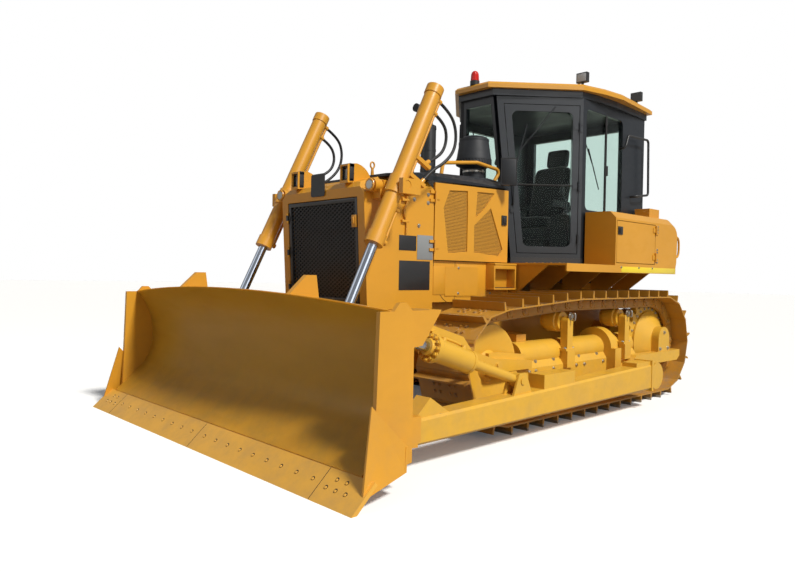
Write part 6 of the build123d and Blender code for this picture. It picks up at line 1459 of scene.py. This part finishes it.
def cushioned(co, half, crown):
    """A place on a cube of half size 1, moved to a cushion with round corners, a crown and two channels."""
    corner_round, edge_pinch, channel_deep, channel_at, channel_wide = 0.10, 0.05, 0.006, 0.55, 0.06
    soft = [c * (1 - corner_round * (co[(i + 1) % 3] ** 4 + co[(i + 2) % 3] ** 4) / 2)
            for i, c in enumerate(co)]
    pinch = 1 - edge_pinch * (abs(co.x) ** 3) * (abs(co.y) ** 3)
    moved = Vector((soft[0] * half[0] * pinch, soft[1] * half[1] * pinch, soft[2] * half[2]))
    thin = min(range(3), key=lambda i: half[i])
    first, second = [i for i in range(3) if i != thin]
    swell = (1 - co[first] ** 2) * (1 - co[second] ** 2)
    channel = math.exp(-((abs(co[first]) - channel_at) / channel_wide) ** 2)
    moved[thin] += (crown * swell - channel_deep * channel) * (1 if co[thin] > 0 else -1) * abs(co[thin]) ** 2
    return moved


class DOZER_OT_seat(Maker):
    """Makes the seat's cushions"""

    bl_idname = "dozer.seat"
    bl_label = "Seat"

    def make(self, scene):
        seat = Vector((0, 1.420, CAB_FLOOR + 0.440))
        # half sizes, middle from the seat's, lean in degrees and crown
        cushions = (
            ("seat_cushion", (0.242, 0.238, 0.062), (0, -0.028, -0.058), 0, 0.010),
            ("seat_back", (0.222, 0.055, 0.288), (0, 0.215, 0.290), -12.5, 0.010),
            ("seat_headrest", (0.128, 0.040, 0.095), (0, 0.350, 0.684), -9, 0.006),
        )
        for name, half, middle, lean, crown in cushions:
            bm = bmesh.new()
            bmesh.ops.create_cube(bm, size=2.0)
            bmesh.ops.subdivide_edges(bm, edges=bm.edges[:], cuts=9, use_grid_fill=True)
            for vert in bm.verts:
                vert.co = cushioned(vert.co.copy(), half, crown)
            place = Matrix.Translation(seat + Vector(middle)) @ Matrix.Rotation(math.radians(lean), 4, "X")
            bmesh.ops.transform(bm, matrix=place, verts=bm.verts)
            made = piece(name, bm, "tractor", "seat_fabric", smooth=80,
                         replaces=("operator_seat",) if name == "seat_cushion" else ())
            sub = made.modifiers.new("Smooth", "SUBSURF")
            sub.levels = sub.render_levels = 1


def make_camera(scene):
    """The camera that took the photo, fitted to it."""
    place = (4.205005, -4.651372, 1.187648)
    yaw, pitch, roll = 0.8043597, 0.0133673, 0.0193945
    wide, tall, focal, centre, sensor = 795.0, 572.0, 672.503, (401.747, 282.223), 36.0
    ahead = Vector((-math.sin(yaw) * math.cos(pitch), math.cos(yaw) * math.cos(pitch), -math.sin(pitch)))
    level = Vector((math.cos(yaw), math.sin(yaw), 0))
    lift = level.cross(ahead)
    right = level * math.cos(roll) + lift * math.sin(roll)
    up = lift * math.cos(roll) - level * math.sin(roll)
    data = bpy.data.cameras.new("Photo view")
    data.sensor_width = sensor
    data.lens = sensor * focal / wide
    data.shift_x = -(centre[0] - wide / 2) / wide
    data.shift_y = (centre[1] - tall / 2) / wide
    data.clip_end = 200.0
    camera = bpy.data.objects.new("Photo view", data)
    camera.matrix_world = frame_of(right, up, -ahead, place)
    scene.collection.objects.link(camera)
    scene.camera = camera


def make_lights(scene, strength):
    """A sun as the key light and two soft lamps."""
    sun = bpy.data.lights.new("Key", "SUN")
    sun.energy = strength
    sun.angle = math.radians(9)
    sun.color = (1.0, 0.97, 0.92)
    key = bpy.data.objects.new("Key", sun)
    key.rotation_euler = Vector((0.70, 0.02, 0.78)).to_track_quat("Z", "Y").to_euler()
    scene.collection.objects.link(key)
    for name, place, target, size, power in (
        ("Front soft", (-5.0, -9.0, 6.0), (0, -2.0, 0.8), 6.0, 80.0),
        ("Side soft", (9.0, -2.0, 4.0), (0.8, 0.0, 1.0), 5.0, 120.0),
    ):
        area = bpy.data.lights.new(name, "AREA")
        area.shape = "SQUARE"
        area.size = size
        area.energy = power
        lamp = bpy.data.objects.new(name, area)
        lamp.location = place
        lamp.rotation_euler = (Vector(place) - Vector(target)).to_track_quat("Z", "Y").to_euler()
        scene.collection.objects.link(lamp)


def make_floor(scene):
    """A wide floor, white for the camera and dull for the light that it throws back."""
    bm = bmesh.new()
    bmesh.ops.create_circle(bm, cap_ends=True, segments=64, radius=60.0)
    mesh = bpy.data.meshes.new("floor")
    bm.to_mesh(mesh)
    bm.free()
    floor = bpy.data.objects.new("floor", mesh)
    scene.collection.objects.link(floor)
    material, tree, node = shader("Floor white")
    cloud = put(tree, "ShaderNodeTexNoise", {"Vector": object_place(tree), "Scale": 3.0})
    pale = blend(tree, cloud.outputs[0], (0.985, 0.995, 1.0, 1), (1.0, 1.0, 1.0, 1))
    dull, haze, haze_strength = (0.42, 0.40, 0.37, 1), (0.7, 0.85, 1.0, 1.0), 0.07
    camera_ray = put(tree, "ShaderNodeLightPath").outputs["Is Camera Ray"]
    feed(tree, node, Base_Color=blend(tree, camera_ray, dull, pale), Roughness=0.9, Specular_IOR_Level=0.0,
         Emission_Color=haze, Emission_Strength=calc(tree, "MULTIPLY", camera_ray, haze_strength))
    mesh.materials.append(material)


def make_world(scene, fill):
    """White for the camera and through glass, paler in reflections, and an even fill for the rest."""
    world = bpy.data.worlds.new("White room")
    scene.world = world
    world.use_nodes = True
    tree = world.node_tree
    rays = put(tree, "ShaderNodeLightPath").outputs
    first_bounce, mirrored = 0.5, 0.30
    direct = calc(tree, "LESS_THAN", rays["Diffuse Depth"], first_bounce)
    through = calc(tree, "MULTIPLY", rays["Is Transmission Ray"], direct)
    seen = calc(tree, "MAXIMUM", rays["Is Camera Ray"], through)
    strength = calc(tree, "MAXIMUM", seen, calc(tree, "MULTIPLY", rays["Is Glossy Ray"], mirrored))
    strength = calc(tree, "MAXIMUM", strength, fill)
    feed(tree, tree.nodes["Background"], Color=(1.0, 1.0, 1.0, 1.0), Strength=strength)


class DOZER_OT_stage(Maker):
    """Makes the camera, lights, floor and surroundings"""

    bl_idname = "dozer.stage"
    bl_label = "Stage"

    def make(self, scene):
        make_camera(scene)
        make_lights(scene, scene.dozer_sizes.sun)
        make_floor(scene)
        make_world(scene, scene.dozer_sizes.fill)
        scene.view_settings.view_transform = "Standard"


class DOZER_PT_panel(bpy.types.Panel):
    """Sidebar panel with the settings and makers."""

    bl_label = "Dozer"
    bl_idname = "DOZER_PT_panel"
    bl_space_type = "VIEW_3D"
    bl_region_type = "UI"
    bl_category = "Dozer"

    def draw(self, context):
        for group in (context.scene.dozer_paint, context.scene.dozer_sizes):
            for name in group.__annotations__:
                self.layout.prop(group, name)
        for maker in MAKERS:
            self.layout.operator(maker.bl_idname)


MAKERS = (
    DOZER_OT_stage, DOZER_OT_finishes, DOZER_OT_hoses, DOZER_OT_grille, DOZER_OT_screens, DOZER_OT_bolts,
    DOZER_OT_mouldboard, DOZER_OT_chains, DOZER_OT_cylinders, DOZER_OT_nose, DOZER_OT_steps,
    DOZER_OT_stacks, DOZER_OT_glazing, DOZER_OT_fittings, DOZER_OT_controls, DOZER_OT_seat,
)
CLASSES = (DozerPaint, DozerSizes, DOZER_PT_panel, *MAKERS)


def register():
    for kind in CLASSES:
        bpy.utils.register_class(kind)
    bpy.types.Scene.dozer_paint = PointerProperty(type=DozerPaint)
    bpy.types.Scene.dozer_sizes = PointerProperty(type=DozerSizes)


def unregister():
    del bpy.types.Scene.dozer_sizes
    del bpy.types.Scene.dozer_paint
    for kind in reversed(CLASSES):
        bpy.utils.unregister_class(kind)


def main():
    """Register and run the makers in order."""
    register()
    for maker in MAKERS:
        getattr(bpy.ops.dozer, maker.bl_idname.split(".")[1])()


if __name__ == "__main__":
    main()
